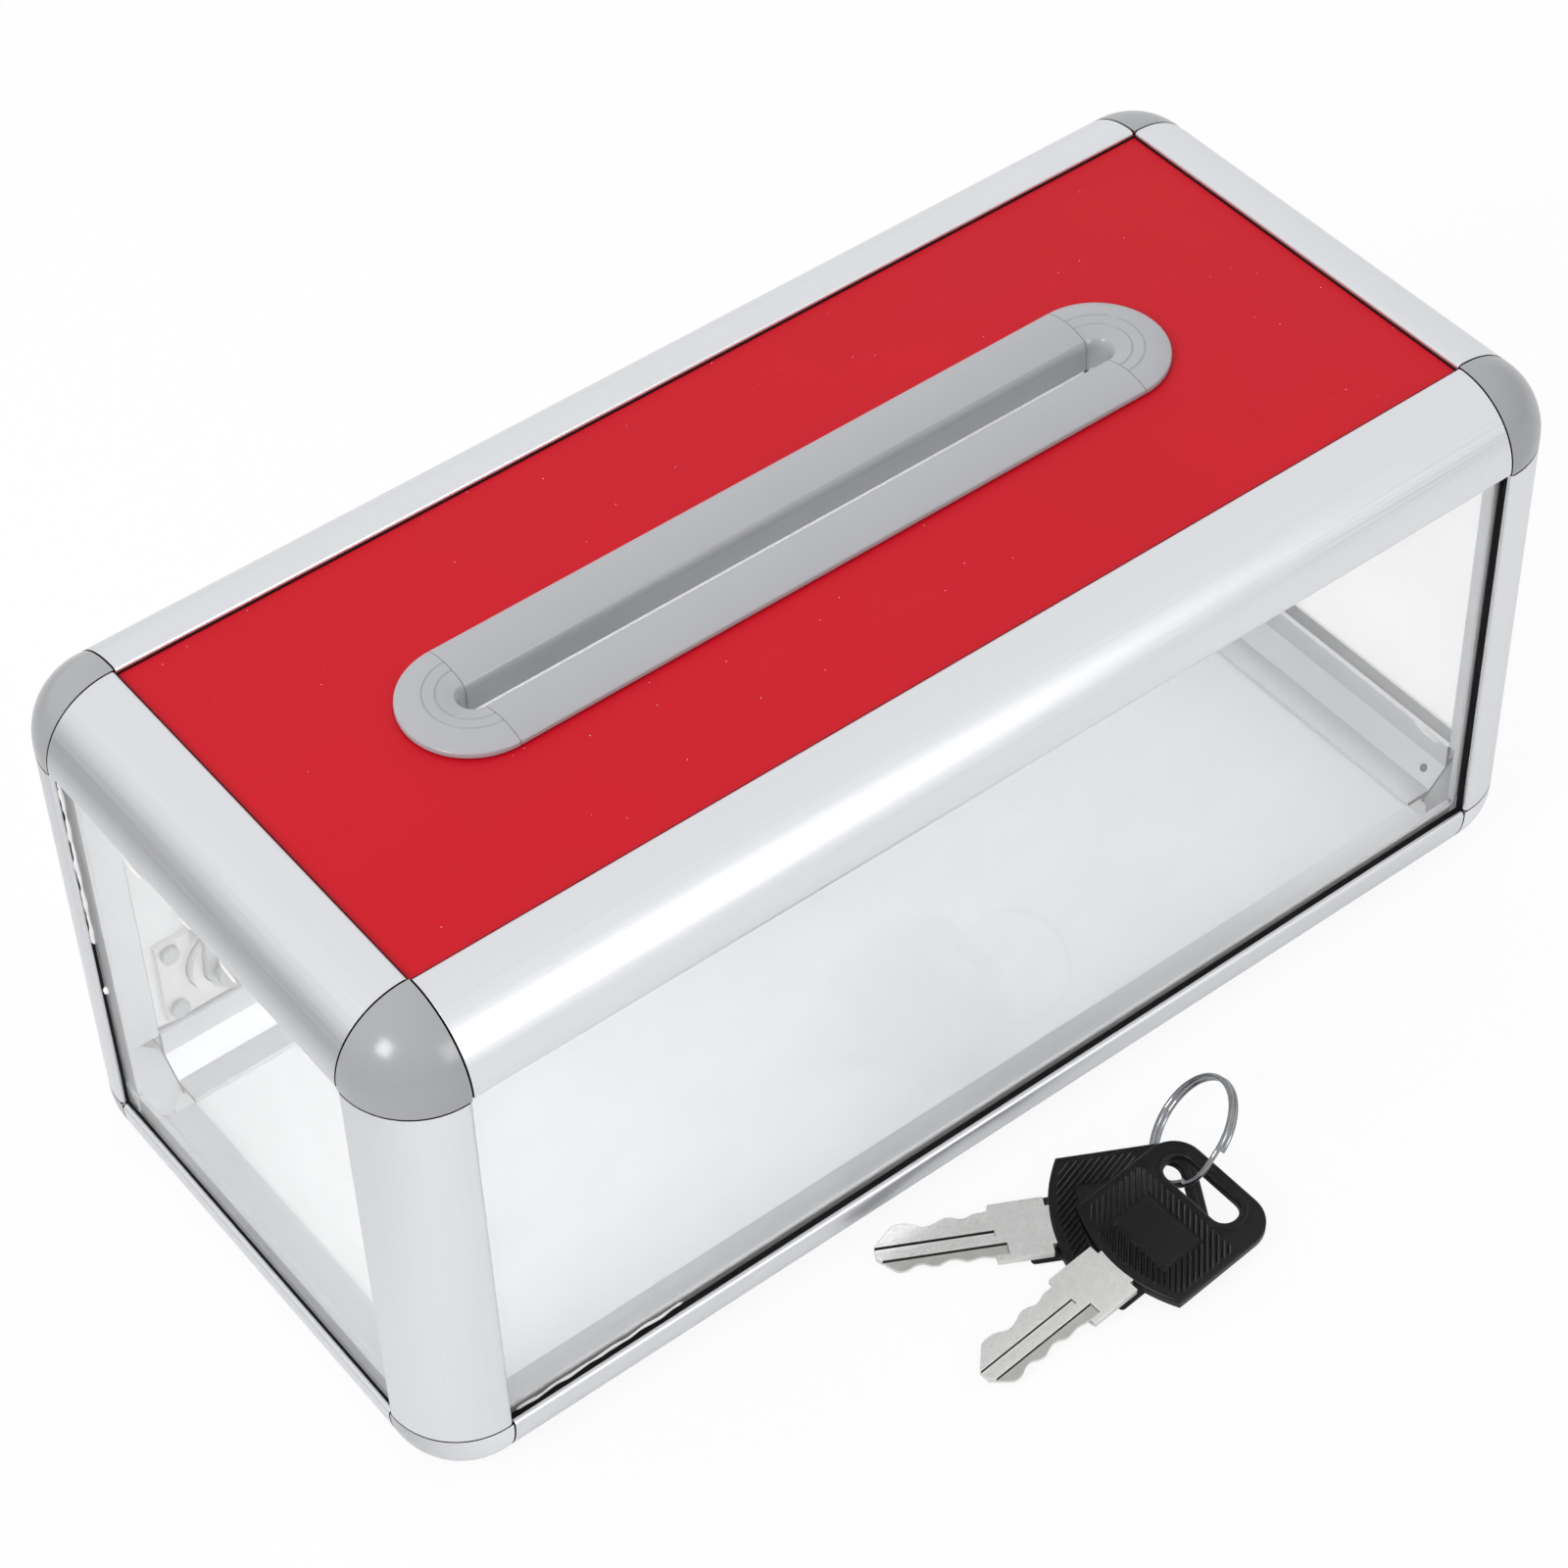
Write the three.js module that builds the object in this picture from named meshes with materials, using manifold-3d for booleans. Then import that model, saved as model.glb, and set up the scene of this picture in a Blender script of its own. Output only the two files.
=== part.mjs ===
// A locking card box: an aluminium edge frame with moulded corner caps, clear panes on three sides,
// a red top with a moulded card slot, and a rear door with a cam lock, with its two keys on a ring.
// Millimetres, +Z up. The pieces are first laid out from the box's own left, front, lower corner.
import * as THREE from 'three';
import { mergeVertices } from 'three/addons/utils/BufferGeometryUtils.js';
import { RoundedBoxGeometry } from 'three/addons/geometries/RoundedBoxGeometry.js';
import Module from 'manifold-3d';

const wasm = await Module();
wasm.setup();

// Overall box
const LENGTH = 250;
const WIDTH = 115;
const HEIGHT = 116;

// Edge bar section, measured inward from the two outer faces
const EDGE = 15;
const EDGE_RADIUS = 14;
const LIP = 1.0;
const GROOVE = 3.6;
const FLANGE = 1.0;
const GROOVE_FLOOR = 11;
const SKIN = 1.2;
const WEB = 1.2;
const SEAM = 0.2;
const ARC_STEPS = 9;

// Corner caps
const SPIGOT_LENGTH = 12;
const SPIGOT_ROOT = 7;
const SPIGOT_CLEARANCE = 0.3;
const CAP_FACETS = 4;

// Sheet pieces
const PANE = 2;
const PANE_CLEARANCE = 0.2;
const TOP_SHEET = 3;
const FLOOR_SHEET = 3;
const SHEET_CLEARANCE = 0.3;
const SHEET_EDGE_CLEARANCE = 0.5;

// Card slot and its moulded trim
const SLOT_WIDTH = 5;
const SLOT_FROM_END = 58.8;
const TRIM_WIDTH = 26.8;
const TRIM_CREST = 3;
const TRIM_RIM = 0.9;
const TRIM_WALL = 1.2;
const TRIM_LEG = 5;
const TRIM_BARB = 0.8;
const TRIM_SEAT = 0.15;
const TRIM_SEAM = 0.2;
const CUTOUT_CLEARANCE = 0.3;
const ROUND_STEPS = 20;

// Rear door
const DOOR_SHEET = 3;
const DOOR_INSET = 1.3;
const DOOR_GAP = 0.6;

// Butt hinges of the door
const HINGE_LENGTH = 24;
const HINGE_MARGIN = 4.3;
const HINGE_INSET = 1.7;
const HINGE_FROM_LIP = 2.6;
const KNUCKLE_RADIUS = 1.45;
const PIN_RADIUS = 0.55;
const PIN_CLEARANCE = 0.2;
const PIN_HEAD = 0.5;
const LEAF = 0.7;
const LEAF_SEAT = 0.15;
const DOOR_LEAF_REACH = 17;
const KNUCKLE_GAP = 0.25;
const HINGE_NOTCH_CLEARANCE = 0.6;

// Rivets of the hinges
const RIVET_RADIUS = 0.8;
const RIVET_HEAD_RADIUS = 1.6;
const RIVET_HEAD = 0.35;
const RIVET_CLEARANCE = 0.15;
const RIVET_PITCH = 14;
const FRAME_RIVET_HEAD_RADIUS = 1.3;

// Cam lock on the door
const LOCK_X = 30.3;
const LOCK_Z = 27;
const LOCK_FLANGE_RADIUS = 10.5;
const LOCK_FLANGE = 0.9;
const LOCK_BARREL_RADIUS = 7.6;
const LOCK_BARREL_END = 7.6;
const LOCK_CLEARANCE = 0.2;
const BARREL_STEPS = 28;
const PLUG_RADIUS = 5;
const KEYWAY_WIDTH = 8.6;
const KEYWAY_HEIGHT = 2;
const KEYWAY_DEPTH = 6;
const CAM_SQUARE = 6;
const CAM_SHEET = 1.4;
const CAM_REACH = 19;
const CAM_WIDTH = 10;
const CAM_SCREW_RADIUS = 1.2;
const CAM_SCREW_HEAD_RADIUS = 4;
const CAM_SCREW_HEAD = 1.5;
const CAM_SCREW_GRIP = 1.6;
const LOCK_PLATE_LENGTH = 26;
const LOCK_PLATE_HEIGHT = 20;
const LOCK_PLATE = 1.2;
const LOCK_SCREW_INSET = 2.6;
const LOCK_SCREW_RADIUS = 0.9;
const LOCK_SCREW_HEAD_RADIUS = 1.9;
const LOCK_SCREW_HEAD = 0.9;
const LOCK_SCREW_BITE = 1.8;

// Keys
const KEY_HEAD = 2.6;
const KEY_HEAD_WIDTH = 27.2;
const KEY_HEAD_LENGTH = 28.6;
const KEY_HEAD_BULGE = 3.6;
const KEY_HEAD_ROUND = 6;
const KEY_HOLE_LENGTH = 20;
const KEY_HOLE_WIDTH = 5.6;
const KEY_HOLE_RIM = 3.4;
const KEY_BLADE = 1.5;
const KEY_BLADE_LENGTH = 31.5;
const KEY_BLADE_WIDTH = 9.2;
const KEY_SHOULDER_LENGTH = 10.4;
const KEY_SHOULDER_WIDTH = 11.8;
const KEY_TANG_LENGTH = 8;
const KEY_TANG_WIDTH = 8;
const KEY_FIT = 0.12;
const KEY_CUT_DEPTH = 1.3;

// Where the keys and their ring lie, in front of the box
const KEYS_FRONT = 46.5;
const KEYS_RIGHT = 140;
const KEY_LAYER_GAP = 0.3;
const STACK_NORMAL = new THREE.Vector3(-0.06, -0.07, 1).normalize();
const UPPER_KEY = { x: -20.4, y: -7.6, turn: 3.2 };
const LOWER_KEY = { x: -22.3, y: 7.5, turn: -29.2 };
const RING_RADIUS = 10.4;
const RING_WIRE = 0.9;
const RING_BAND = 1.6;
const RING_CENTRE = new THREE.Vector3(8.5, 4.0, 6.5);
const RING_LEAN = 51;
const RING_TURN = 138.1;
const RING_STEPS = 40;

// Places worked out from the sizes above
const GROOVE_END = LIP + GROOVE;
const FLANGE_END = GROOVE_END + FLANGE;
const MID_X = LENGTH / 2;
const MID_Y = WIDTH / 2;
const MID_Z = HEIGHT / 2;
const SHEET_EDGE = GROOVE_FLOOR + SHEET_EDGE_CLEARANCE;
const RAIL_LENGTH = LENGTH - 2 * SLOT_FROM_END;
const TOP_FACE = HEIGHT - LIP - SHEET_CLEARANCE;
const SLOT_HALF = SLOT_WIDTH / 2;
const TRIM_HALF = TRIM_WIDTH / 2;
const HINGE_X = LENGTH - EDGE - HINGE_FROM_LIP;
const DOOR_BACK = DOOR_INSET + DOOR_SHEET;
const DOOR_RIGHT = LENGTH - EDGE - DOOR_GAP;
const DOOR_LOW = EDGE + DOOR_GAP;
const DOOR_HIGH = HEIGHT - EDGE - DOOR_GAP;
const HALF_NOTCH = HINGE_LENGTH / 2 + PIN_HEAD + HINGE_NOTCH_CLEARANCE;
const HINGE_LOW = DOOR_LOW + HINGE_MARGIN + HALF_NOTCH;
const HINGE_HIGH = DOOR_HIGH - HINGE_MARGIN - HALF_NOTCH;
const DOOR_LEAF_BACK = DOOR_INSET - LEAF_SEAT;
const RIVET_HOLE = RIVET_RADIUS + RIVET_CLEARANCE;
const PLATE_FRONT = DOOR_BACK + LOCK_CLEARANCE;
const CAM_FRONT = LOCK_BARREL_END + 2 * LOCK_CLEARANCE;
const PLUG_END = LOCK_BARREL_END + LOCK_CLEARANCE;
const CAM_BACK = CAM_FRONT + CAM_SHEET;

const ANODISED = new THREE.MeshStandardMaterial({ color: 0xd7d8db, roughness: 0.4, metalness: 0.9 });
const GREY_ABS = new THREE.MeshStandardMaterial({ color: 0xa5a8aa, roughness: 0.35, metalness: 0 });
const TRIM_ABS = new THREE.MeshStandardMaterial({ color: 0xb4b5b7, roughness: 0.4, metalness: 0 });
const RED_SHEET = new THREE.MeshStandardMaterial({ color: 0xce2632, roughness: 0.45, metalness: 0 });
const PALE_SHEET = new THREE.MeshStandardMaterial({ color: 0xe2e3e5, roughness: 0.5, metalness: 0 });
const ACRYLIC = new THREE.MeshStandardMaterial({
  color: 0xf4f6f7,
  roughness: 0.05,
  metalness: 0,
  transparent: true,
  opacity: 0.25,
});
const NICKEL = new THREE.MeshStandardMaterial({ color: 0xc9c9c6, roughness: 0.3, metalness: 1 });
const STEEL = new THREE.MeshStandardMaterial({ color: 0xb9bbbe, roughness: 0.35, metalness: 1 });
const BLACK_ABS = new THREE.MeshStandardMaterial({ color: 0x1b1b1c, roughness: 0.5, metalness: 0 });

// Closed geometry to a solid that can be cut and joined
function toSolid(geometry) {
  const bare = geometry.clone();
  bare.deleteAttribute('normal');
  bare.deleteAttribute('uv');
  const merged = mergeVertices(bare, 1e-4);
  return new wasm.Manifold(new wasm.Mesh({
    numProp: 3,
    vertProperties: new Float32Array(merged.attributes.position.array),
    triVerts: new Uint32Array(merged.index.array),
  }));
}

// A solid back to geometry
function toGeometry(solid) {
  const result = solid.getMesh();
  const geometry = new THREE.BufferGeometry();
  geometry.setAttribute('position', new THREE.BufferAttribute(new Float32Array(result.vertProperties), 3));
  geometry.setIndex(new THREE.BufferAttribute(new Uint32Array(result.triVerts), 1));
  geometry.computeVertexNormals();
  return geometry;
}

// A box between two corners
function boxBetween(low, high) {
  const size = high.map((value, axis) => value - low[axis]);
  const geometry = new THREE.BoxGeometry(...size);
  geometry.translate(...high.map((value, axis) => (value + low[axis]) / 2));
  return geometry;
}

// An outline given a thickness along +Z
function slab(shape, depth, curveSegments = 8) {
  return new THREE.ExtrudeGeometry(shape, { depth, bevelEnabled: false, curveSegments });
}

// An outline in X and Z given a thickness towards -Y
function uprightSlab(shape, depth, curveSegments = 8) {
  return slab(shape, depth, curveSegments).rotateX(Math.PI / 2);
}

// A closed profile of [radius, height] pairs turned about Y
function turned(profile, steps) {
  const points = profile.map(([radius, height]) => new THREE.Vector2(radius, height));
  return new THREE.LatheGeometry(points, steps);
}

// A round hole whose flats lie outside the given radius
function roundHole(shape, x, y, radius, steps = 10) {
  const outer = radius / Math.cos(Math.PI / steps);
  const points = [];
  for (let step = 0; step < steps; step += 1) {
    const angle = (2 * Math.PI * step) / steps;
    points.push([x + outer * Math.cos(angle), y + outer * Math.sin(angle)]);
  }
  shape.holes.push(pathOf(points, THREE.Path));
}

function piece(parent, name, geometry, material) {
  const mesh = new THREE.Mesh(geometry, material);
  mesh.name = name;
  parent.add(mesh);
  return mesh;
}

// Points of a quarter arc about a centre, from one angle to another in degrees
function arcPoints(centre, radius, from, to) {
  const points = [];
  for (let step = 0; step <= ARC_STEPS; step += 1) {
    const angle = THREE.MathUtils.degToRad(from + ((to - from) * step) / ARC_STEPS);
    points.push([centre + radius * Math.cos(angle), centre + radius * Math.sin(angle)]);
  }
  return points;
}

// The crescent channel inside an edge bar, drawn in by a margin for the spigot that fills it
function channelPoints(margin) {
  const wall = GROOVE_FLOOR - WEB - margin;
  const radius = EDGE_RADIUS - SKIN - margin;
  const reach = Math.sqrt(radius ** 2 - (EDGE_RADIUS - wall) ** 2);
  const open = THREE.MathUtils.radToDeg(Math.atan2(EDGE_RADIUS - wall, reach));
  const slant = EDGE - (FLANGE + margin) * Math.SQRT2;
  return [
    ...arcPoints(EDGE_RADIUS, radius, 180 + open, 270 - open),
    [wall, slant - wall],
    [slant - wall, wall],
  ];
}

function pathOf(points, Kind) {
  const path = new Kind();
  points.forEach(([x, y], index) => {
    if (index === 0) {
      path.moveTo(x, y);
    } else {
      path.lineTo(x, y);
    }
  });
  path.closePath();
  return path;
}

// The edge bar's section: quarter-round outside, a sheet groove on each side, a slanted inner wall
function barSection() {
  const half = [
    [EDGE, 0],
    [EDGE, LIP],
    [GROOVE_FLOOR, LIP],
    [GROOVE_FLOOR, GROOVE_END],
    [EDGE, GROOVE_END],
    [EDGE, FLANGE_END],
    [EDGE - FLANGE_END, FLANGE_END],
  ];
  const mirrored = half.map(([u, v]) => [v, u]).reverse();
  const round = arcPoints(EDGE_RADIUS, EDGE_RADIUS, 180, 270);
  const section = pathOf([...round, ...half, ...mirrored], THREE.Shape);
  section.holes.push(pathOf(channelPoints(0), THREE.Path));
  return section;
}

const X_AXIS = new THREE.Vector3(1, 0, 0);
const Y_AXIS = new THREE.Vector3(0, 1, 0);
const Z_AXIS = new THREE.Vector3(0, 0, 1);

// Turns a mesh so that its own X and Y run along two directions
function turnTo(mesh, along, across) {
  const third = new THREE.Vector3().crossVectors(along, across);
  mesh.quaternion.setFromRotationMatrix(new THREE.Matrix4().makeBasis(along, across, third));
}

const SIDES_X = [['left', 1, 0], ['right', -1, LENGTH]];
const SIDES_Y = [['front', 1, 0], ['rear', -1, WIDTH]];
const SIDES_Z = [['bottom', 1, 0], ['top', -1, HEIGHT]];

function barGeometry(span) {
  const length = span - 2 * (EDGE + SEAM);
  return slab(barSection(), length).translate(0, 0, -length / 2);
}

function hingeHeights() {
  return [['lower', HINGE_LOW], ['upper', HINGE_HIGH]];
}

function rivetHeights(middle) {
  return [['low', middle - RIVET_PITCH / 2], ['high', middle + RIVET_PITCH / 2]];
}

const FRAME_RIVET_X = LENGTH - (EDGE + GROOVE_FLOOR) / 2;

// The right rear post has holes in its rear lip for the hinge rivets
function hingePostGeometry() {
  let solid = toSolid(barGeometry(HEIGHT));
  for (const [, middle] of hingeHeights()) {
    for (const [, height] of rivetHeights(middle)) {
      const hole = new THREE.CylinderGeometry(RIVET_HOLE, RIVET_HOLE, 3 * LIP, 10);
      hole.rotateZ(Math.PI / 2);
      hole.translate(0, LENGTH - FRAME_RIVET_X, height - MID_Z);
      solid = solid.subtract(toSolid(hole));
    }
  }
  return toGeometry(solid);
}

function addBars(frame) {
  const alongX = barGeometry(LENGTH);
  const alongY = barGeometry(WIDTH);
  const alongZ = barGeometry(HEIGHT);
  for (const [level, upward, z] of SIDES_Z) {
    for (const [side, inward, y] of SIDES_Y) {
      const bar = piece(frame, `${level}_${side}_bar`, alongX, ANODISED);
      bar.position.set(MID_X, y, z);
      turnTo(bar, Y_AXIS.clone().multiplyScalar(inward), Z_AXIS.clone().multiplyScalar(upward));
    }
    for (const [side, inward, x] of SIDES_X) {
      const bar = piece(frame, `${level}_${side}_bar`, alongY, ANODISED);
      bar.position.set(x, MID_Y, z);
      turnTo(bar, X_AXIS.clone().multiplyScalar(inward), Z_AXIS.clone().multiplyScalar(upward));
    }
  }
  for (const [depth, backward, y] of SIDES_Y) {
    for (const [side, inward, x] of SIDES_X) {
      const hinged = depth === 'rear' && side === 'right';
      const post = piece(frame, `${depth}_${side}_post`, hinged ? hingePostGeometry() : alongZ, ANODISED);
      post.position.set(x, y, MID_Z);
      const inwardX = X_AXIS.clone().multiplyScalar(inward);
      const inwardY = Y_AXIS.clone().multiplyScalar(backward);
      if (hinged) {
        turnTo(post, inwardY, inwardX);
      } else {
        turnTo(post, inwardX, inwardY);
      }
    }
  }
}

// A corner cap, drawn from its outer corner inward: a rounded corner with three spigots
function capGeometry() {
  const block = 4 * EDGE_RADIUS;
  const rounded = new RoundedBoxGeometry(block, block, block, CAP_FACETS, EDGE_RADIUS);
  rounded.translate(block / 2, block / 2, block / 2);
  let cap = toSolid(rounded).intersect(toSolid(boxBetween([0, 0, 0], [EDGE, EDGE, EDGE])));
  // The inner corner is cut off level with the slanted walls of the three bars
  const beyond = new THREE.BoxGeometry(block, block, block).translate(0, 0, block / 2);
  const diagonal = new THREE.Vector3(1, 1, 1).normalize();
  beyond.applyQuaternion(new THREE.Quaternion().setFromUnitVectors(Z_AXIS, diagonal));
  beyond.translate((2 * EDGE) / 3, (2 * EDGE) / 3, (2 * EDGE) / 3);
  cap = cap.subtract(toSolid(beyond));
  const past = EDGE + 1;
  const deep = GROOVE_FLOOR;
  const pockets = [
    [[LIP, deep, deep], [GROOVE_END, past, past]],
    [[deep, LIP, deep], [past, GROOVE_END, past]],
    [[deep, deep, LIP], [past, past, GROOVE_END]],
  ];
  for (const [low, high] of pockets) {
    cap = cap.subtract(toSolid(boxBetween(low, high)));
  }
  const reach = EDGE + SPIGOT_LENGTH - SPIGOT_ROOT;
  const section = pathOf(channelPoints(SPIGOT_CLEARANCE), THREE.Shape);
  const spigot = slab(section, reach).translate(0, 0, SPIGOT_ROOT);
  const quarter = new THREE.Matrix4();
  for (const axes of [[X_AXIS, Y_AXIS, Z_AXIS], [Y_AXIS, Z_AXIS, X_AXIS], [Z_AXIS, X_AXIS, Y_AXIS]]) {
    quarter.makeBasis(...axes);
    cap = cap.add(toSolid(spigot.clone().applyMatrix4(quarter)));
  }
  return toGeometry(cap);
}

function addCaps(frame) {
  const geometry = capGeometry();
  for (const [level, upward, z] of SIDES_Z) {
    for (const [depth, backward, y] of SIDES_Y) {
      for (const [side, inward, x] of SIDES_X) {
        const cap = piece(frame, `corner_cap_${level}_${depth}_${side}`, geometry, GREY_ABS);
        cap.position.set(x, y, z);
        const inwardX = X_AXIS.clone().multiplyScalar(inward);
        const inwardY = Y_AXIS.clone().multiplyScalar(backward);
        if (inward * backward * upward > 0) {
          turnTo(cap, inwardX, inwardY);
        } else {
          turnTo(cap, inwardY, inwardX);
        }
      }
    }
  }
}

// Clear panes stand against the inner flanges of their grooves
function addPanes(frame) {
  const inner = GROOVE_END - PANE_CLEARANCE;
  const outer = inner - PANE;
  const low = SHEET_EDGE;
  const front = boxBetween([low, outer, low], [LENGTH - low, inner, HEIGHT - low]);
  const left = boxBetween([outer, low, low], [inner, WIDTH - low, HEIGHT - low]);
  const right = boxBetween([LENGTH - inner, low, low], [LENGTH - outer, WIDTH - low, HEIGHT - low]);
  piece(frame, 'front_pane', front, ACRYLIC);
  piece(frame, 'left_pane', left, ACRYLIC);
  piece(frame, 'right_pane', right, ACRYLIC);
}

function rectangle(x0, y0, x1, y1, Kind = THREE.Shape) {
  return pathOf([[x0, y0], [x1, y0], [x1, y1], [x0, y1]], Kind);
}

// A long hole with round ends, centred in the top
function slotPath(halfWidth) {
  const path = new THREE.Path();
  const halfRun = RAIL_LENGTH / 2;
  path.absarc(MID_X + halfRun, MID_Y, halfWidth, -Math.PI / 2, Math.PI / 2, false);
  path.absarc(MID_X - halfRun, MID_Y, halfWidth, Math.PI / 2, (3 * Math.PI) / 2, false);
  path.closePath();
  return path;
}

function addTopAndFloor(frame) {
  const top = rectangle(SHEET_EDGE, SHEET_EDGE, LENGTH - SHEET_EDGE, WIDTH - SHEET_EDGE);
  top.holes.push(slotPath(SLOT_HALF + TRIM_WALL + CUTOUT_CLEARANCE));
  const topPanel = piece(frame, 'top_panel', slab(top, TOP_SHEET, ROUND_STEPS / 2), RED_SHEET);
  topPanel.position.z = TOP_FACE - TOP_SHEET;
  const floorZ = LIP + SHEET_CLEARANCE;
  const floorEnd = [LENGTH - SHEET_EDGE, WIDTH - SHEET_EDGE, floorZ + FLOOR_SHEET];
  piece(frame, 'floor_panel', boxBetween([SHEET_EDGE, SHEET_EDGE, floorZ], floorEnd), PALE_SHEET);
}

// The trim's section from the slot's wall outward, with its height above the top panel
function trimProfile() {
  const wall = SLOT_HALF + TRIM_WALL;
  const barbTop = -TOP_SHEET - SHEET_CLEARANCE;
  const crown = new THREE.QuadraticBezierCurve(
    new THREE.Vector2(TRIM_HALF, TRIM_RIM),
    new THREE.Vector2((TRIM_HALF + wall) / 2 + TRIM_WALL, TRIM_CREST + TRIM_SEAT),
    new THREE.Vector2(wall, TRIM_CREST),
  );
  return [
    [SLOT_HALF, -TRIM_LEG],
    [wall, -TRIM_LEG],
    [wall + TRIM_BARB, barbTop],
    [wall, barbTop],
    [wall, TRIM_SEAT],
    [TRIM_HALF, TRIM_SEAT],
    ...crown.getPoints(6).map((point) => [point.x, point.y]),
    [SLOT_HALF, TRIM_CREST - TRIM_WALL],
  ];
}

function addSlotTrim(frame) {
  const run = RAIL_LENGTH - TRIM_SEAM;
  const section = pathOf(trimProfile(), THREE.Shape);
  const rail = slab(section, run).translate(0, 0, -run / 2);
  const rear = piece(frame, 'slot_rail_rear', rail, TRIM_ABS);
  const front = piece(frame, 'slot_rail_front', rail, TRIM_ABS);
  turnTo(rear, Y_AXIS, Z_AXIS);
  turnTo(front, Y_AXIS.clone().negate(), Z_AXIS);
  rear.position.set(MID_X, MID_Y, TOP_FACE);
  front.position.set(MID_X, MID_Y, TOP_FACE);
  const profile = trimProfile();
  const whole = toSolid(turned([...profile, profile[0]], ROUND_STEPS * 2));
  const half = boxBetween([0, -TRIM_WIDTH, -TRIM_WIDTH], [TRIM_WIDTH, TRIM_WIDTH, TRIM_WIDTH]);
  const end = toGeometry(whole.intersect(toSolid(half)));
  const right = piece(frame, 'slot_end_right', end, TRIM_ABS);
  const left = piece(frame, 'slot_end_left', end, TRIM_ABS);
  turnTo(right, X_AXIS, Z_AXIS);
  turnTo(left, X_AXIS.clone().negate(), Z_AXIS);
  right.position.set(MID_X + RAIL_LENGTH / 2, MID_Y, TOP_FACE);
  left.position.set(MID_X - RAIL_LENGTH / 2, MID_Y, TOP_FACE);
}

function lockScrewPlaces() {
  const dx = LOCK_PLATE_LENGTH / 2 - LOCK_SCREW_INSET;
  const dz = LOCK_PLATE_HEIGHT / 2 - LOCK_SCREW_INSET;
  return [[-dx, -dz], [dx, -dz], [-dx, dz], [dx, dz]];
}

const DOOR_RIVET_X = HINGE_X - (2 * DOOR_LEAF_REACH) / 3;

// The rear door sits between the rear lips, with notches at its hinges
function addDoor(frame) {
  const left = EDGE + DOOR_GAP;
  const notch = HINGE_X - KNUCKLE_RADIUS - HINGE_NOTCH_CLEARANCE;
  const edge = [];
  for (const [, middle] of hingeHeights()) {
    edge.push([DOOR_RIGHT, middle - HALF_NOTCH], [notch, middle - HALF_NOTCH]);
    edge.push([notch, middle + HALF_NOTCH], [DOOR_RIGHT, middle + HALF_NOTCH]);
  }
  const lowCorners = [[left, DOOR_LOW], [DOOR_RIGHT, DOOR_LOW]];
  const highCorners = [[DOOR_RIGHT, DOOR_HIGH], [left, DOOR_HIGH]];
  const corners = [...lowCorners, ...edge, ...highCorners];
  const outline = pathOf(corners, THREE.Shape);
  roundHole(outline, LOCK_X, LOCK_Z, LOCK_BARREL_RADIUS + LOCK_CLEARANCE, BARREL_STEPS);
  for (const [dx, dz] of lockScrewPlaces()) {
    roundHole(outline, LOCK_X + dx, LOCK_Z + dz, LOCK_SCREW_RADIUS + LOCK_CLEARANCE);
  }
  for (const [, middle] of hingeHeights()) {
    for (const [, height] of rivetHeights(middle)) {
      roundHole(outline, DOOR_RIVET_X, height, RIVET_HOLE);
    }
  }
  const door = piece(frame, 'rear_door', uprightSlab(outline, DOOR_SHEET), PALE_SHEET);
  door.position.y = WIDTH - DOOR_INSET;
}

// Leaves of one hinge, drawn about its pin with X away from the door and Y out of the box
function leafSolid(from, to, low, high) {
  const halfLength = HINGE_LENGTH / 2;
  const leaf = toSolid(boxBetween([from, low, -halfLength], [to, high, halfLength]));
  const knuckle = new THREE.CylinderGeometry(KNUCKLE_RADIUS, KNUCKLE_RADIUS, HINGE_LENGTH, 14);
  const boreRadius = PIN_RADIUS + PIN_CLEARANCE;
  const bore = new THREE.CylinderGeometry(boreRadius, boreRadius, 2 * HINGE_LENGTH, 14);
  const barrel = toSolid(knuckle.rotateX(Math.PI / 2));
  return leaf.add(barrel).subtract(toSolid(bore.rotateX(Math.PI / 2)));
}

function drilled(solid, x, heights) {
  let result = solid;
  for (const height of heights) {
    const hole = new THREE.CylinderGeometry(RIVET_HOLE, RIVET_HOLE, EDGE, 10);
    result = result.subtract(toSolid(hole.translate(x, 0, height)));
  }
  return result;
}

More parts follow.
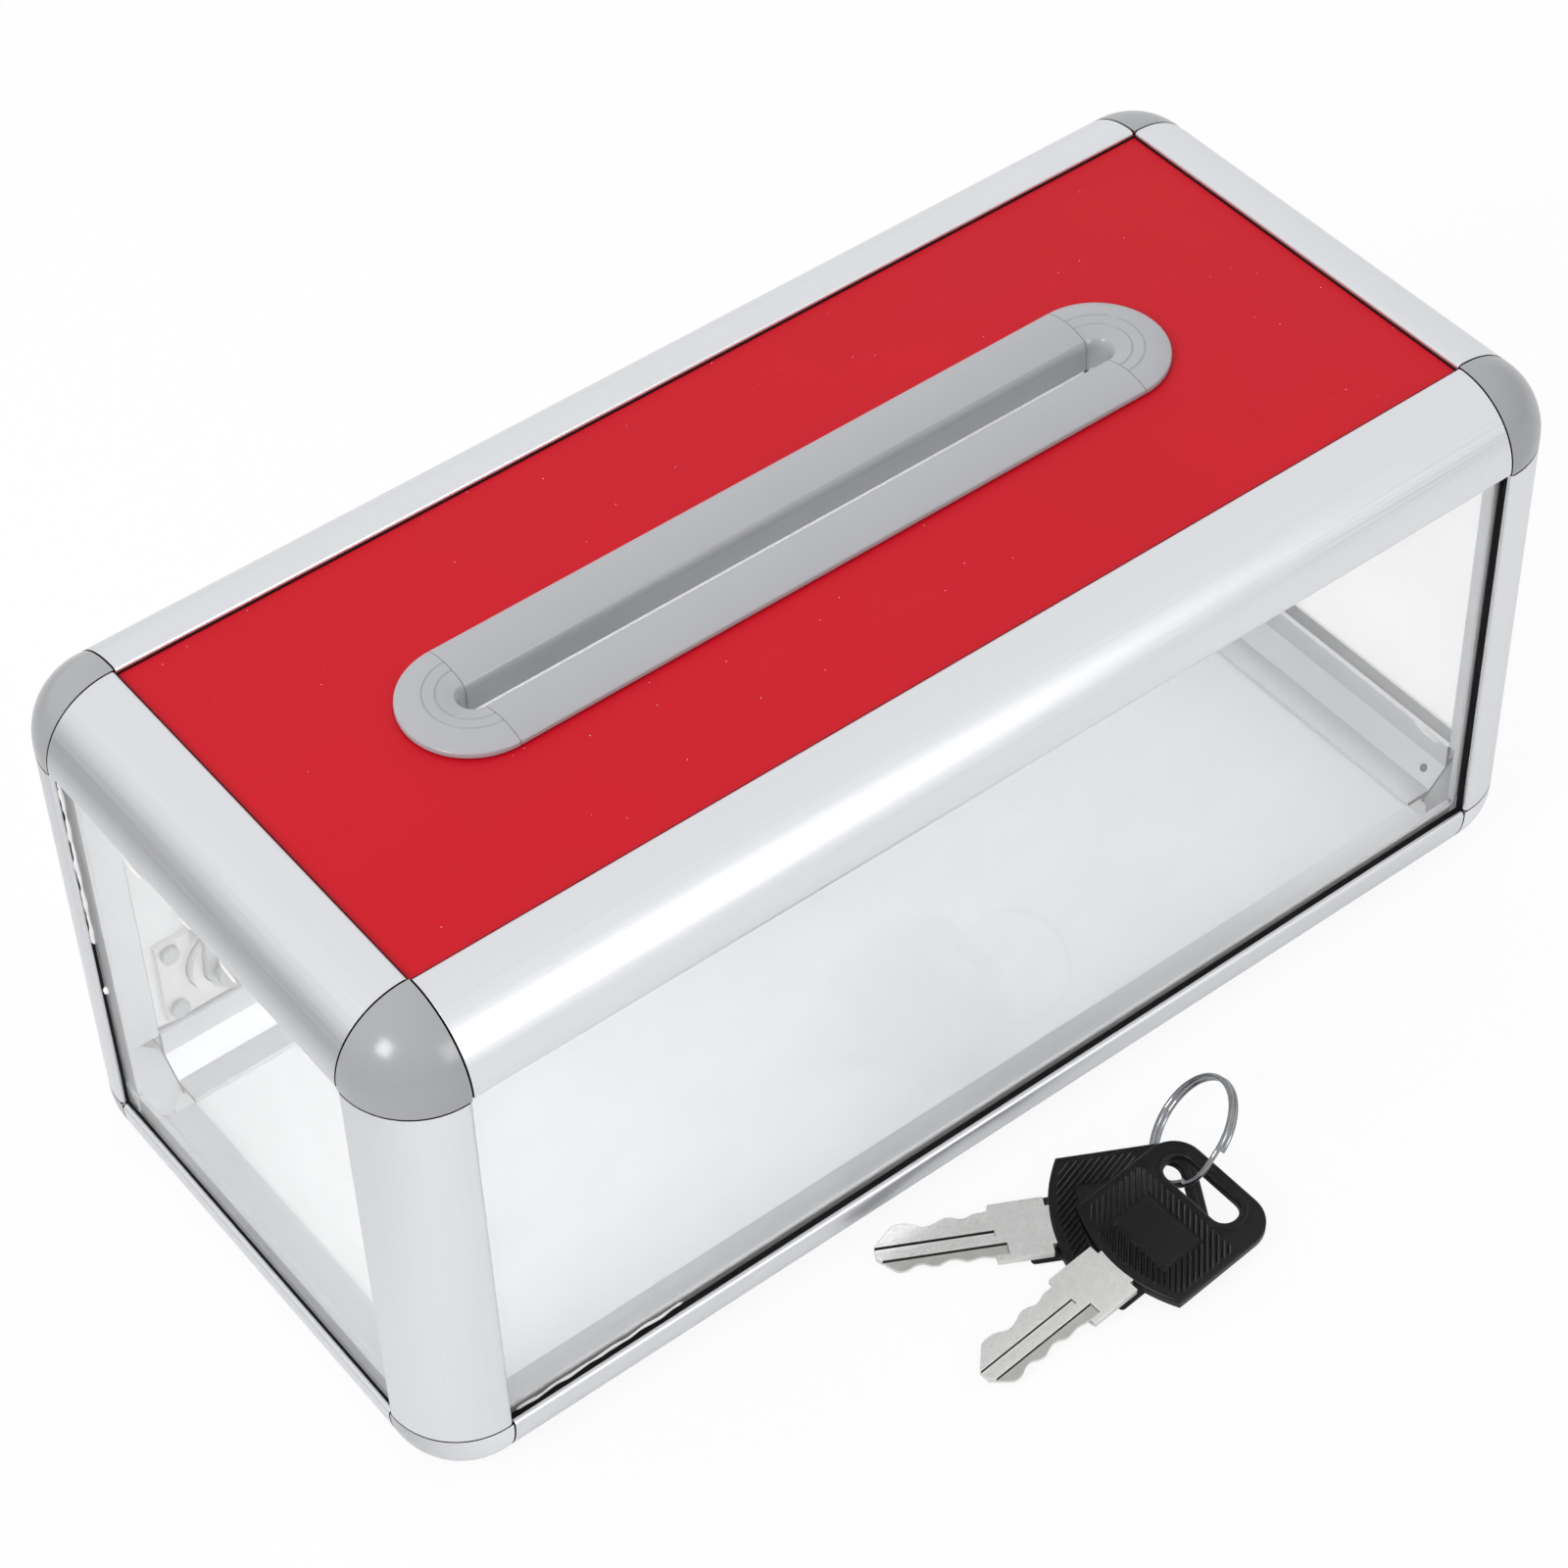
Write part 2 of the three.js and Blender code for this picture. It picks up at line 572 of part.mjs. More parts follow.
function addHinges(frame) {
  const third = HINGE_LENGTH / 6;
  const wide = 2 * KNUCKLE_RADIUS + KNUCKLE_GAP;
  const around = (low, high) => toSolid(boxBetween([-wide, -wide, low], [wide, wide, high]));
  const rivetOffsets = [-RIVET_PITCH / 2, RIVET_PITCH / 2];
  const frameReach = LENGTH - SHEET_EDGE - HINGE_X;
  let frameLeaf = leafSolid(0, frameReach, -LEAF / 2, LEAF / 2);
  frameLeaf = frameLeaf.subtract(around(-third, third));
  frameLeaf = drilled(frameLeaf, FRAME_RIVET_X - HINGE_X, rivetOffsets);
  const doorLow = HINGE_INSET - DOOR_LEAF_BACK;
  let doorLeaf = leafSolid(-DOOR_LEAF_REACH, 0, doorLow, doorLow + LEAF);
  const knuckleEnd = third - KNUCKLE_GAP;
  doorLeaf = doorLeaf.subtract(around(-HINGE_LENGTH, -knuckleEnd));
  doorLeaf = doorLeaf.subtract(around(knuckleEnd, HINGE_LENGTH));
  doorLeaf = drilled(doorLeaf, DOOR_RIVET_X - HINGE_X, rivetOffsets);
  const pinEnd = HINGE_LENGTH / 2;
  const headGap = KNUCKLE_GAP;
  const pin = turned([
    [0, -pinEnd],
    [PIN_RADIUS, -pinEnd],
    [PIN_RADIUS, pinEnd + headGap],
    [2 * PIN_RADIUS, pinEnd + headGap],
    [2 * PIN_RADIUS, pinEnd + headGap + PIN_HEAD],
    [0, pinEnd + headGap + PIN_HEAD],
  ], 12).rotateX(Math.PI / 2);
  const frameLeafGeometry = toGeometry(frameLeaf);
  const doorLeafGeometry = toGeometry(doorLeaf);
  for (const [level, middle] of hingeHeights()) {
    const hinge = new THREE.Group();
    hinge.position.set(HINGE_X, WIDTH - HINGE_INSET, middle);
    frame.add(hinge);
    piece(hinge, `hinge_${level}_frame_leaf`, frameLeafGeometry, STEEL);
    piece(hinge, `hinge_${level}_door_leaf`, doorLeafGeometry, STEEL);
    piece(hinge, `hinge_${level}_pin`, pin, STEEL);
  }
}

// A rivet along Y: a head, a shank and a closing head, given by their depths behind the rear face
function rivetGeometry(headRadius, start, headEnd, closeStart, closeEnd, closeRadius) {
  return turned([
    [0, start],
    [headRadius, start],
    [headRadius, headEnd],
    [RIVET_RADIUS, headEnd],
    [RIVET_RADIUS, closeStart],
    [closeRadius, closeStart],
    [closeRadius, closeEnd],
    [0, closeEnd],
  ], 12);
}

function addRivets(frame) {
  const headEnd = DOOR_LEAF_BACK - LEAF - RIVET_CLEARANCE / 2;
  const doorClose = DOOR_BACK + RIVET_CLEARANCE;
  const doorRivet = rivetGeometry(
    RIVET_HEAD_RADIUS,
    headEnd - RIVET_HEAD,
    headEnd,
    doorClose,
    doorClose + RIVET_HEAD,
    RIVET_HEAD_RADIUS,
  );
  const frameClose = HINGE_INSET + LEAF / 2 + RIVET_CLEARANCE;
  const frameRivet = turned([
    [0, RIVET_CLEARANCE],
    [RIVET_RADIUS, RIVET_CLEARANCE],
    [RIVET_RADIUS, frameClose],
    [FRAME_RIVET_HEAD_RADIUS, frameClose],
    [FRAME_RIVET_HEAD_RADIUS, frameClose + RIVET_HEAD],
    [0, frameClose + RIVET_HEAD],
  ], 12);
  for (const [level, middle] of hingeHeights()) {
    for (const [part, height] of rivetHeights(middle)) {
      const inDoor = piece(frame, `hinge_${level}_door_rivet_${part}`, doorRivet, STEEL);
      const inFrame = piece(frame, `hinge_${level}_frame_rivet_${part}`, frameRivet, STEEL);
      inDoor.position.set(DOOR_RIVET_X, WIDTH, height);
      inFrame.position.set(FRAME_RIVET_X, WIDTH, height);
      inDoor.rotation.z = Math.PI;
      inFrame.rotation.z = Math.PI;
    }
  }
}

// A regular outline with four equal sides
function square(side, Kind) {
  const half = side / 2;
  return rectangle(-half, -half, half, half, Kind);
}

// The lock's own frame: Y is the depth behind the rear face, Z is up
function addLock(frame) {
  const lock = new THREE.Group();
  lock.position.set(LOCK_X, WIDTH, LOCK_Z);
  lock.rotation.z = Math.PI;
  frame.add(lock);
  const bore = PLUG_RADIUS + LOCK_CLEARANCE;
  const flangeBack = DOOR_INSET - LOCK_CLEARANCE;
  const flangeFront = flangeBack - LOCK_FLANGE;
  piece(lock, 'lock_body', turned([
    [bore, flangeFront],
    [LOCK_FLANGE_RADIUS, flangeFront],
    [LOCK_FLANGE_RADIUS, flangeBack],
    [LOCK_BARREL_RADIUS, flangeBack],
    [LOCK_BARREL_RADIUS, LOCK_BARREL_END],
    [bore, LOCK_BARREL_END],
    [bore, flangeFront],
  ], BARREL_STEPS), NICKEL);

  const screwBore = CAM_SCREW_RADIUS + LOCK_CLEARANCE;
  const barrelSide = [[PLUG_RADIUS, flangeFront], [PLUG_RADIUS, PLUG_END]];
  const barrel = turned([[0, flangeFront], ...barrelSide, [0, PLUG_END]], 24);
  const tail = uprightSlab(square(CAM_SQUARE, THREE.Shape), CAM_BACK - PLUG_END + LOCK_CLEARANCE);
  tail.translate(0, CAM_BACK, 0);
  const keyway = boxBetween(
    [-KEYWAY_WIDTH / 2, flangeFront - LIP, -KEYWAY_HEIGHT / 2],
    [KEYWAY_WIDTH / 2, flangeFront + KEYWAY_DEPTH, KEYWAY_HEIGHT / 2],
  );
  const screwDepth = CAM_SCREW_GRIP + LOCK_CLEARANCE;
  const screwHole = new THREE.CylinderGeometry(screwBore, screwBore, 2 * screwDepth, 12);
  screwHole.translate(0, CAM_BACK, 0);
  const plug = toSolid(barrel).add(toSolid(tail)).subtract(toSolid(keyway)).subtract(toSolid(screwHole));
  piece(lock, 'lock_plug', toGeometry(plug), NICKEL);

  const camShape = new THREE.Shape();
  const camHalf = CAM_WIDTH / 2;
  camShape.absarc(0, 0, camHalf, Math.PI, 2 * Math.PI, false);
  camShape.lineTo(camHalf, CAM_REACH);
  camShape.lineTo(-camHalf, CAM_REACH);
  camShape.closePath();
  camShape.holes.push(square(CAM_SQUARE + 2 * LOCK_CLEARANCE, THREE.Path));
  const cam = uprightSlab(camShape, CAM_SHEET).translate(0, CAM_BACK, 0);
  piece(lock, 'lock_cam', cam, STEEL);

  const headFront = CAM_BACK + LOCK_CLEARANCE;
  const camScrew = turned([
    [0, CAM_BACK - CAM_SCREW_GRIP],
    [CAM_SCREW_RADIUS, CAM_BACK - CAM_SCREW_GRIP],
    [CAM_SCREW_RADIUS, headFront],
    [CAM_SCREW_HEAD_RADIUS, headFront],
    [CAM_SCREW_HEAD_RADIUS, headFront + CAM_SCREW_HEAD],
    [0, headFront + CAM_SCREW_HEAD],
  ], 16);
  piece(lock, 'lock_cam_screw', camScrew, STEEL);

  const halfLength = LOCK_PLATE_LENGTH / 2;
  const halfHeight = LOCK_PLATE_HEIGHT / 2;
  const plateShape = rectangle(-halfLength, -halfHeight, halfLength, halfHeight);
  roundHole(plateShape, 0, 0, LOCK_BARREL_RADIUS + LOCK_CLEARANCE, BARREL_STEPS);
  for (const [dx, dz] of lockScrewPlaces()) {
    roundHole(plateShape, dx, dz, LOCK_SCREW_RADIUS + LOCK_CLEARANCE);
  }
  const plate = uprightSlab(plateShape, LOCK_PLATE).translate(0, PLATE_FRONT + LOCK_PLATE, 0);
  piece(lock, 'lock_plate', plate, NICKEL);

  const screwHead = PLATE_FRONT + LOCK_PLATE + LOCK_CLEARANCE;
  const screw = turned([
    [0, DOOR_BACK - LOCK_SCREW_BITE],
    [LOCK_SCREW_RADIUS, DOOR_BACK - LOCK_SCREW_BITE],
    [LOCK_SCREW_RADIUS, screwHead],
    [LOCK_SCREW_HEAD_RADIUS, screwHead],
    [LOCK_SCREW_HEAD_RADIUS, screwHead + LOCK_SCREW_HEAD],
    [0, screwHead + LOCK_SCREW_HEAD],
  ], 12);
  lockScrewPlaces().forEach(([dx, dz], index) => {
    const placed = piece(lock, `lock_screw_${index + 1}`, screw, STEEL);
    placed.position.set(dx, 0, dz);
  });
}

// A key's head: a bulging edge at the blade, round far corners, a long hole for the ring
function keyHeadGeometry() {
  const half = KEY_HEAD_WIDTH / 2;
  const round = KEY_HEAD_ROUND;
  const shape = new THREE.Shape();
  shape.moveTo(KEY_HEAD_BULGE, half);
  shape.quadraticCurveTo(-KEY_HEAD_BULGE, 0, KEY_HEAD_BULGE, -half);
  shape.absarc(KEY_HEAD_LENGTH - round, round - half, round, -Math.PI / 2, 0, false);
  shape.absarc(KEY_HEAD_LENGTH - round, half - round, round, 0, Math.PI / 2, false);
  shape.closePath();
  const holeHalf = KEY_HOLE_WIDTH / 2;
  const holeRun = (KEY_HOLE_LENGTH - KEY_HOLE_WIDTH) / 2;
  const holeX = KEY_HEAD_LENGTH - KEY_HOLE_RIM - holeHalf;
  const hole = new THREE.Path();
  hole.absarc(holeX, holeRun, holeHalf, 0, Math.PI, false);
  hole.absarc(holeX, -holeRun, holeHalf, Math.PI, 2 * Math.PI, false);
  hole.closePath();
  shape.holes.push(hole);
  const tangHalf = KEY_TANG_WIDTH / 2 + KEY_FIT;
  const middle = KEY_HEAD / 2;
  const bladeHalf = KEY_BLADE / 2 + KEY_FIT;
  const pocket = boxBetween(
    [-KEY_HEAD_BULGE, -tangHalf, middle - bladeHalf],
    [KEY_TANG_LENGTH + KEY_FIT, tangHalf, middle + bladeHalf],
  );
  return toGeometry(toSolid(slab(shape, KEY_HEAD, 7)).subtract(toSolid(pocket)));
}

// A key's blade: shoulder, wavy cuts along both edges, a blunt point, and a tang inside the head
function keyBladeGeometry() {
  const shoulder = KEY_SHOULDER_WIDTH / 2;
  const tang = KEY_TANG_WIDTH / 2;
  const root = -KEY_LAYER_GAP;
  const start = -KEY_SHOULDER_LENGTH;
  const end = -KEY_BLADE_LENGTH;
  const point = KEY_BLADE_WIDTH * 0.4;
  const cutRun = KEY_BLADE_LENGTH - KEY_SHOULDER_LENGTH - point;
  const cuts = [0.5, 0.1, 0.9, 0.4, 1, 0.2, 0];
  const edge = (side) => cuts.map((depth, index) => new THREE.Vector2(
    start - (cutRun * (index + 0.5)) / cuts.length,
    side * (KEY_BLADE_WIDTH / 2 - KEY_CUT_DEPTH * depth),
  ));
  const shape = new THREE.Shape();
  shape.moveTo(KEY_TANG_LENGTH, -tang);
  shape.lineTo(KEY_TANG_LENGTH, tang);
  shape.lineTo(root, tang);
  shape.lineTo(root, shoulder);
  shape.lineTo(start, shoulder);
  shape.splineThru(edge(1));
  shape.lineTo(end, KEY_BLADE / 2);
  shape.lineTo(end, -KEY_BLADE);
  const back = edge(-1).reverse();
  shape.lineTo(back[0].x, back[0].y);
  shape.splineThru(back.slice(1));
  shape.lineTo(start, -shoulder);
  shape.lineTo(root, -shoulder);
  shape.lineTo(root, -tang);
  shape.closePath();
  return slab(shape, KEY_BLADE, 2).translate(0, 0, (KEY_HEAD - KEY_BLADE) / 2);
}

// Both keys and the ring through their holes, lying as one leaning stack
function makeKeys() {
  const bunch = new THREE.Group();
  const stack = new THREE.Group();
  stack.quaternion.setFromUnitVectors(Z_AXIS, STACK_NORMAL);
  bunch.add(stack);
  const head = keyHeadGeometry();
  const blade = keyBladeGeometry();
  const layers = [['lower', LOWER_KEY, 0], ['upper', UPPER_KEY, KEY_HEAD + KEY_LAYER_GAP]];
  for (const [level, place, height] of layers) {
    const key = new THREE.Group();
    key.position.set(place.x, place.y, height);
    key.rotation.z = THREE.MathUtils.degToRad(place.turn);
    stack.add(key);
    piece(key, `key_${level}_head`, head, BLACK_ABS);
    piece(key, `key_${level}_blade`, blade, NICKEL);
  }
  const bandHalf = RING_BAND / 2;
  const inner = RING_RADIUS - RING_WIRE / 2;
  const outer = RING_RADIUS + RING_WIRE / 2;
  const lowSide = [[inner, -bandHalf], [outer, -bandHalf]];
  const profile = [...lowSide, [outer, bandHalf], [inner, bandHalf], lowSide[0]];
  const loop = turned(profile, RING_STEPS).rotateX(Math.PI / 2);
  const ring = piece(stack, 'split_ring', loop, STEEL);
  ring.position.copy(RING_CENTRE);
  ring.rotation.set(0, THREE.MathUtils.degToRad(RING_LEAN), THREE.MathUtils.degToRad(RING_TURN), 'ZYX');
  bunch.updateMatrixWorld(true);
  const extent = new THREE.Box3().setFromObject(bunch, true);
  bunch.position.set(KEYS_RIGHT, -KEYS_FRONT - extent.min.y, -extent.min.z);
  return bunch;
}

// The origin is under the middle of the footprint of the box and its keys
const assembly = new THREE.Group();
const frame = new THREE.Group();
frame.position.set(-MID_X, -(WIDTH - KEYS_FRONT) / 2, 0);
assembly.add(frame);
addBars(frame);
addCaps(frame);
addPanes(frame);
addTopAndFloor(frame);
addSlotTrim(frame);
addDoor(frame);
addHinges(frame);
addRivets(frame);
addLock(frame);
frame.add(makeKeys());

export default assembly;
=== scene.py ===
"""Looks of the card box: drawn bars, moulded caps, clear panes, slot trim, locked rear door and keys."""

import math

import bmesh
import bpy
from bpy.props import FloatProperty, FloatVectorProperty
from mathutils import Matrix, Vector


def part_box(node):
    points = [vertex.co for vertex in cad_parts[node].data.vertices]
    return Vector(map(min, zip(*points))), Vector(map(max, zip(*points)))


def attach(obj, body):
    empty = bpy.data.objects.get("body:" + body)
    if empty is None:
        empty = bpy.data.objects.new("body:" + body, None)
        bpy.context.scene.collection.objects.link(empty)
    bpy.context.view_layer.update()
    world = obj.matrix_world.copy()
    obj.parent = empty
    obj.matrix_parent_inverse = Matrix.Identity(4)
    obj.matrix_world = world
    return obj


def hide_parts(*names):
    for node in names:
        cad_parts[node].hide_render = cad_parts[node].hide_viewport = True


bl_info = {
    "name": "Card box looks",
    "version": (1, 0, 0),
    "blender": (4, 5, 0),
    "location": "3D View > Sidebar > Card box",
    "description": "Dresses a packed card box with fine-edged pieces, finishes and a small studio",
    "category": "Object",
}

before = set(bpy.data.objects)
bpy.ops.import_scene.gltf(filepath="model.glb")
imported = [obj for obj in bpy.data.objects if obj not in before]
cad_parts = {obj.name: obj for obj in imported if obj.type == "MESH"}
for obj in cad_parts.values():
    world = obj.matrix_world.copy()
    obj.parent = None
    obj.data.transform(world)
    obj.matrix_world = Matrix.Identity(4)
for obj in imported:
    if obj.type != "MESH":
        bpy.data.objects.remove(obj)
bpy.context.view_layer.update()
MM = 0.001

# The box in the row frame, read from its packed bars
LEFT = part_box("bottom_left_bar")[0].x
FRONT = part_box("bottom_front_bar")[0].y
LENGTH = (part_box("bottom_right_bar")[1].x - LEFT) / MM
WIDTH = (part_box("bottom_rear_bar")[1].y - FRONT) / MM
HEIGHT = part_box("top_front_bar")[1].z / MM

# Section of an edge bar in millimetres, inward from its two outer faces, as in the solids,
# but for the wider seam and the lip's rounding, which the photograph shows
EDGE = 15.0
EDGE_RADIUS = 14.0
LIP = 1.0
GROOVE_END = 4.6
FLANGE_END = 5.6
GROOVE_FLOOR = 11.0
SKIN = 1.2
WEB = 1.2
SEAM = 0.3
LIP_ROUND = 0.8

# Sheets, as in the solids, but for the end panes, which sit nearer to the face in the photograph
PANE_OUTER = 2.4
PANE_INNER = 4.4
END_PANE = 1.5
PANE = 2.0
SHEET_EDGE = 11.5
TOP_FACE = HEIGHT - 1.3
FLOOR_UNDER = 1.3
SHEET = 3.0

# Slot trim, as its edges were measured on the photograph: a low dome with a rounded lip into the slot
SLOT_HALF = 2.5
TRIM_WALL = 3.7
TRIM_HALF = 13.1
TRIM_RIM = 1.4
TRIM_DOME = 2.0
TRIM_SHOULDER = 0.5
TRIM_LEG = 5.0
TRIM_BARB = 0.8
TRIM_SEAT = 0.15
TRIM_SHADOW_GAP = 0.3
TRIM_LIP = 3.4
TRIM_LIP_START = 142
TRIM_SEAM = 0.2
TRIM_LINES = (6.2, 8.4)
TRIM_LINE_DEPTH = 0.16
RAIL = 132.4
SLOT_MIDDLE = (LENGTH / 2 - 1.65, WIDTH / 2 + 0.5)

# Keys: where the leaning stack starts, how it leans, and each key's place in it
STACK_ORIGIN = Vector((15.0, -59.473, 1.968)) * MM
STACK_NORMAL = Vector((-0.06, -0.07, 1.0)).normalized()
KEY_PLACES = {"lower": (-22.3, 7.5, 0.0, -29.2), "upper": (-20.4, -7.6, 2.9, 3.2)}
RING_CENTRE = Vector((8.375, 4.534, 6.12))
RING_LEAN = math.radians(49.7)
RING_TURN = math.radians(137.1)
RING_RADIUS = 10.4
WIRE_START = math.radians(133)
WIRE_SWEEP = 668.0
WIRE_STEP = 46.0

# A key's head and blade, along the key from the head's base and across it
HEAD_LEFT = 13.4
HEAD_RIGHT = -12.9
HEAD_FAR = 27.9
HEAD_ROUND = 6.0
HEAD_HALF = 13.6
HEAD_BULGE = 3.6
HEAD_FACE = 2.3
HEAD_EDGE = 0.5
RAISED_FACE = 2.56
HOLE_PLACE = 22.3
HOLE_ENDS = (-4.4, 6.8)
HOLE_ROUND = 2.8
HOLE_RIM = (0.5, 1.5)
BLADE_UNDER = 0.55
BLADE_FACE = 2.05
BLADE_HALF = 5.9
BLADE_SHOULDER = -10.4
BLADE_TIP = -31.5
TANG_END = 8.0
TANG_HALF = 4.0

# A key head's blank panel, the collar under its base and the ribs around the panel
PANEL_ENDS = (6.1, 14.1)
PANEL_HALF = 6.2
PANEL_ROUND = 0.5
PANEL_CLEAR = 0.6
COLLAR_ENDS = (-4.6, 2.0)
COLLAR_HALF = 6.6
COLLAR_ROUND = 0.8
COLLAR_UNDER = 0.1
COLLAR_FACE = 0.5
RIB_BORDER = 1.6
RIB_FAR = 17.6
RIB_HALF = 11.8
RIB_SHORTEST = 0.8
RIB_MIDDLE = Vector((9.6, 0))
RIB_RUN = Vector((1, 1)).normalized()
RIB_ACROSS = Vector((-1, 1)).normalized()

# Grooves in a blade's upper face, each by two opposite corners, along and across the blade
GROOVES = (((-33, -0.75), (-10.0, 0.45)), ((-33, -4.7), (-8.2, -2.4)))
GROOVE_BED = 1.15

# The camera that the photograph was fitted with: place in the row frame, heading, pitch, roll, lens
CAMERA_PLACE = Vector((-307.83, -385.02, 594.93)) * MM
CAMERA_HEADING = math.radians(-36.402)
CAMERA_PITCH = math.radians(46.825)
CAMERA_ROLL = math.radians(-2.080)
CAMERA_LENS = 95.707


def linear(code):
    """An sRGB hex colour as linear red, green and blue."""
    values = [int(code[i:i + 2], 16) / 255 for i in (1, 3, 5)]
    return tuple(v / 12.92 if v <= 0.04045 else ((v + 0.055) / 1.055) ** 2.4 for v in values)


def shade(name, description, code):
    """A colour property with a default from a hex colour."""
    return FloatVectorProperty(name=name, description=description, subtype="COLOR", size=3, min=0, max=1,
                               default=linear(code))


def length(name, description, millimetres):
    """A length property with a default in millimetres."""
    return FloatProperty(name=name, description=description, unit="LENGTH", precision=5,
                         default=millimetres * MM)


class CardBoxSizes(bpy.types.PropertyGroup):
    """Sizes of the fine detail."""

    bar_edge: length("Bar edge", "Rounding of the drawn bars' edges", 0.08)
    cap_edge: length("Cap edge", "Rounding of the moulded caps' rims", 0.09)
    trim_edge: length("Trim edge", "Rounding of the slot trim's edges", 0.06)
    trim_line: length("Trim line", "Width of the two lines around each trim end", 0.35)
    rib_pitch: length("Rib pitch", "Distance between the ribs on the key heads", 1.0)
    rib_height: length("Rib height", "Height of the ribs on the key heads", 0.5)
    wire: length("Ring wire", "Thickness of the split ring's wire", 1.02)


class CardBoxColours(bpy.types.PropertyGroup):
    """Colours of the finishes."""

    aluminium: shade("Aluminium", "Anodised bars", "#E1E2E5")
    caps: shade("Corner caps", "Moulded caps", "#A2A3A6")
    trim: shade("Slot trim", "Moulded trim", "#ADAEB2")
    top: shade("Top", "Red top sheet", "#C60B20")
    pale: shade("Pale sheets", "Floor and door", "#F5F6F7")
    nickel: shade("Nickel", "Key blades and lock", "#E8E8E5")
    groove_wall_shade: shade("Groove wall shade", "Painted shade on one wall of each blade groove", "#2E2D2B")
    bed_shade: shade("Groove bed shade", "Painted shade on the bed of the blades' outer groove", "#C6C6C3")
    steel: shade("Steel", "Hinges, screws and ring", "#B4B6B9")
    ring: shade("Ring", "Split ring's polished wire", "#9A9C9F")
    black: shade("Key heads", "Moulded key heads", "#080809")
    # Painted shade: the dark colour put on seams, grooves, gaps and dimples where they lie in shade
    strip: shade("Painted shade", "Dark colour painted on seams, grooves, dimples and gaps in shade", "#161617")
    glue: shade("Glue", "Clear glue along the panes", "#F6F6F4")


def corner(x, y, z):
    """A point in millimetres from the box's left, front, lower corner, in the row frame."""
    return Vector((LEFT + x * MM, FRONT + y * MM, z * MM))


def turn_to(along, across, place):
    """The matrix whose own X and Y run along two directions from a place."""
    third = Vector(along).cross(Vector(across))
    turned_axes = Matrix((along, across, third)).transposed().to_4x4()
    return Matrix.Translation(place) @ turned_axes


def arc(centre, radius, start, end, steps):
    """Points on an arc, angles in degrees."""
    angles = [math.radians(start + (end - start) * i / steps) for i in range(steps + 1)]
    return [(centre[0] + radius * math.cos(a), centre[1] + radius * math.sin(a)) for a in angles]


def rounded(points, radius, steps=6):
    """A closed outline with its corners rounded."""
    result = []
    count = len(points)
    for i, point in enumerate(points):
        here = Vector(point)
        before = (Vector(points[i - 1]) - here).normalized()
        after = (Vector(points[(i + 1) % count]) - here).normalized()
        half = before.angle(after) / 2
        middle = (before + after).normalized() * (radius / math.sin(half))
        reach = radius / math.tan(half)
        first = before * reach - middle
        last = after * reach - middle
        sweep = first.angle_signed(last)
        for step in range(steps + 1):
            turned_by = Matrix.Rotation(-sweep * step / steps, 2)
            result.append(tuple(here + middle + turned_by @ first))
    return result


def slab(outline, holes, low, high):
    """A flat outline with holes, given a thickness along Z, in millimetres."""
    bm = bmesh.new()
    edges = []
    for loop in [outline, *holes]:
        verts = [bm.verts.new((x, y, low)) for x, y in loop]
        edges += [bm.edges.new((verts[i - 1], verts[i])) for i in range(len(verts))]
    bmesh.ops.triangle_fill(bm, use_beauty=True, use_dissolve=True, edges=edges)
    made = bmesh.ops.extrude_face_region(bm, geom=bm.faces[:], use_keep_orig=True)
    raised = [item for item in made["geom"] if isinstance(item, bmesh.types.BMVert)]
    bmesh.ops.translate(bm, vec=(0, 0, high - low), verts=raised)
    bmesh.ops.recalc_face_normals(bm, faces=bm.faces)
    return bm


def turned(profile, steps, start=0.0, sweep=360.0, closed=False):
    """A profile of (radius, height) pairs turned about Z, in millimetres."""
    bm = bmesh.new()
    whole = abs(sweep) >= 360
    count = steps if whole else steps + 1
    rings = []
    for step in range(count):
        angle = math.radians(start + sweep * step / steps)
        rings.append([(r * math.cos(angle), r * math.sin(angle), h) for r, h in profile])
    made = [[bm.verts.new(co) for co in ring] for ring in rings]
    spans = range(count if whole else count - 1)
    last = len(profile) if closed else len(profile) - 1
    for step in spans:
        here = made[step]
        there = made[(step + 1) % count]
        for i in range(last):
            j = (i + 1) % len(profile)
            bm.faces.new((here[i], here[j], there[j], there[i]))
    if not whole:
        bm.faces.new(made[0])
        bm.faces.new(made[-1][::-1])
    bmesh.ops.remove_doubles(bm, verts=bm.verts, dist=1e-5)
    bmesh.ops.dissolve_degenerate(bm, edges=bm.edges, dist=1e-6)
    bmesh.ops.recalc_face_normals(bm, faces=bm.faces)
    return bm


def block(low, high):
    """A box between two corners, in millimetres."""
    bm = bmesh.new()
    size = Vector(high) - Vector(low)
    middle = (Vector(high) + Vector(low)) / 2
    bmesh.ops.create_cube(bm, size=1, matrix=Matrix.Translation(middle) @ Matrix.Diagonal((*size, 1)))
    return bm


def swept(path, section, across, swell=None):
    """A section of (outward, upward) pairs carried along an open path, with closed ends, in millimetres."""
    bm = bmesh.new()
    rings = []
    for i, point in enumerate(path):
        ahead = path[min(i + 1, len(path) - 1)] - path[max(i - 1, 0)]
        side = across(i).normalized()
        up = ahead.cross(side).normalized()
        grow = swell[i] if swell else 1.0
        rings.append([bm.verts.new(point + (side * a + up * b) * grow) for a, b in section])
    for here, there in zip(rings, rings[1:]):
        for i in range(len(section)):
            j = (i + 1) % len(section)
            bm.faces.new((here[i], here[j], there[j], there[i]))
    bm.faces.new(rings[0][::-1])
    bm.faces.new(rings[-1])
    bmesh.ops.recalc_face_normals(bm, faces=bm.faces)
    return bm


def joined(*parts):
    """Several meshes in the making as one."""
    bm = bmesh.new()
    for part in parts:
        mesh = bpy.data.meshes.new("part")
        part.to_mesh(mesh)
        part.free()
        bm.from_mesh(mesh)
        bpy.data.meshes.remove(mesh)
    return bm


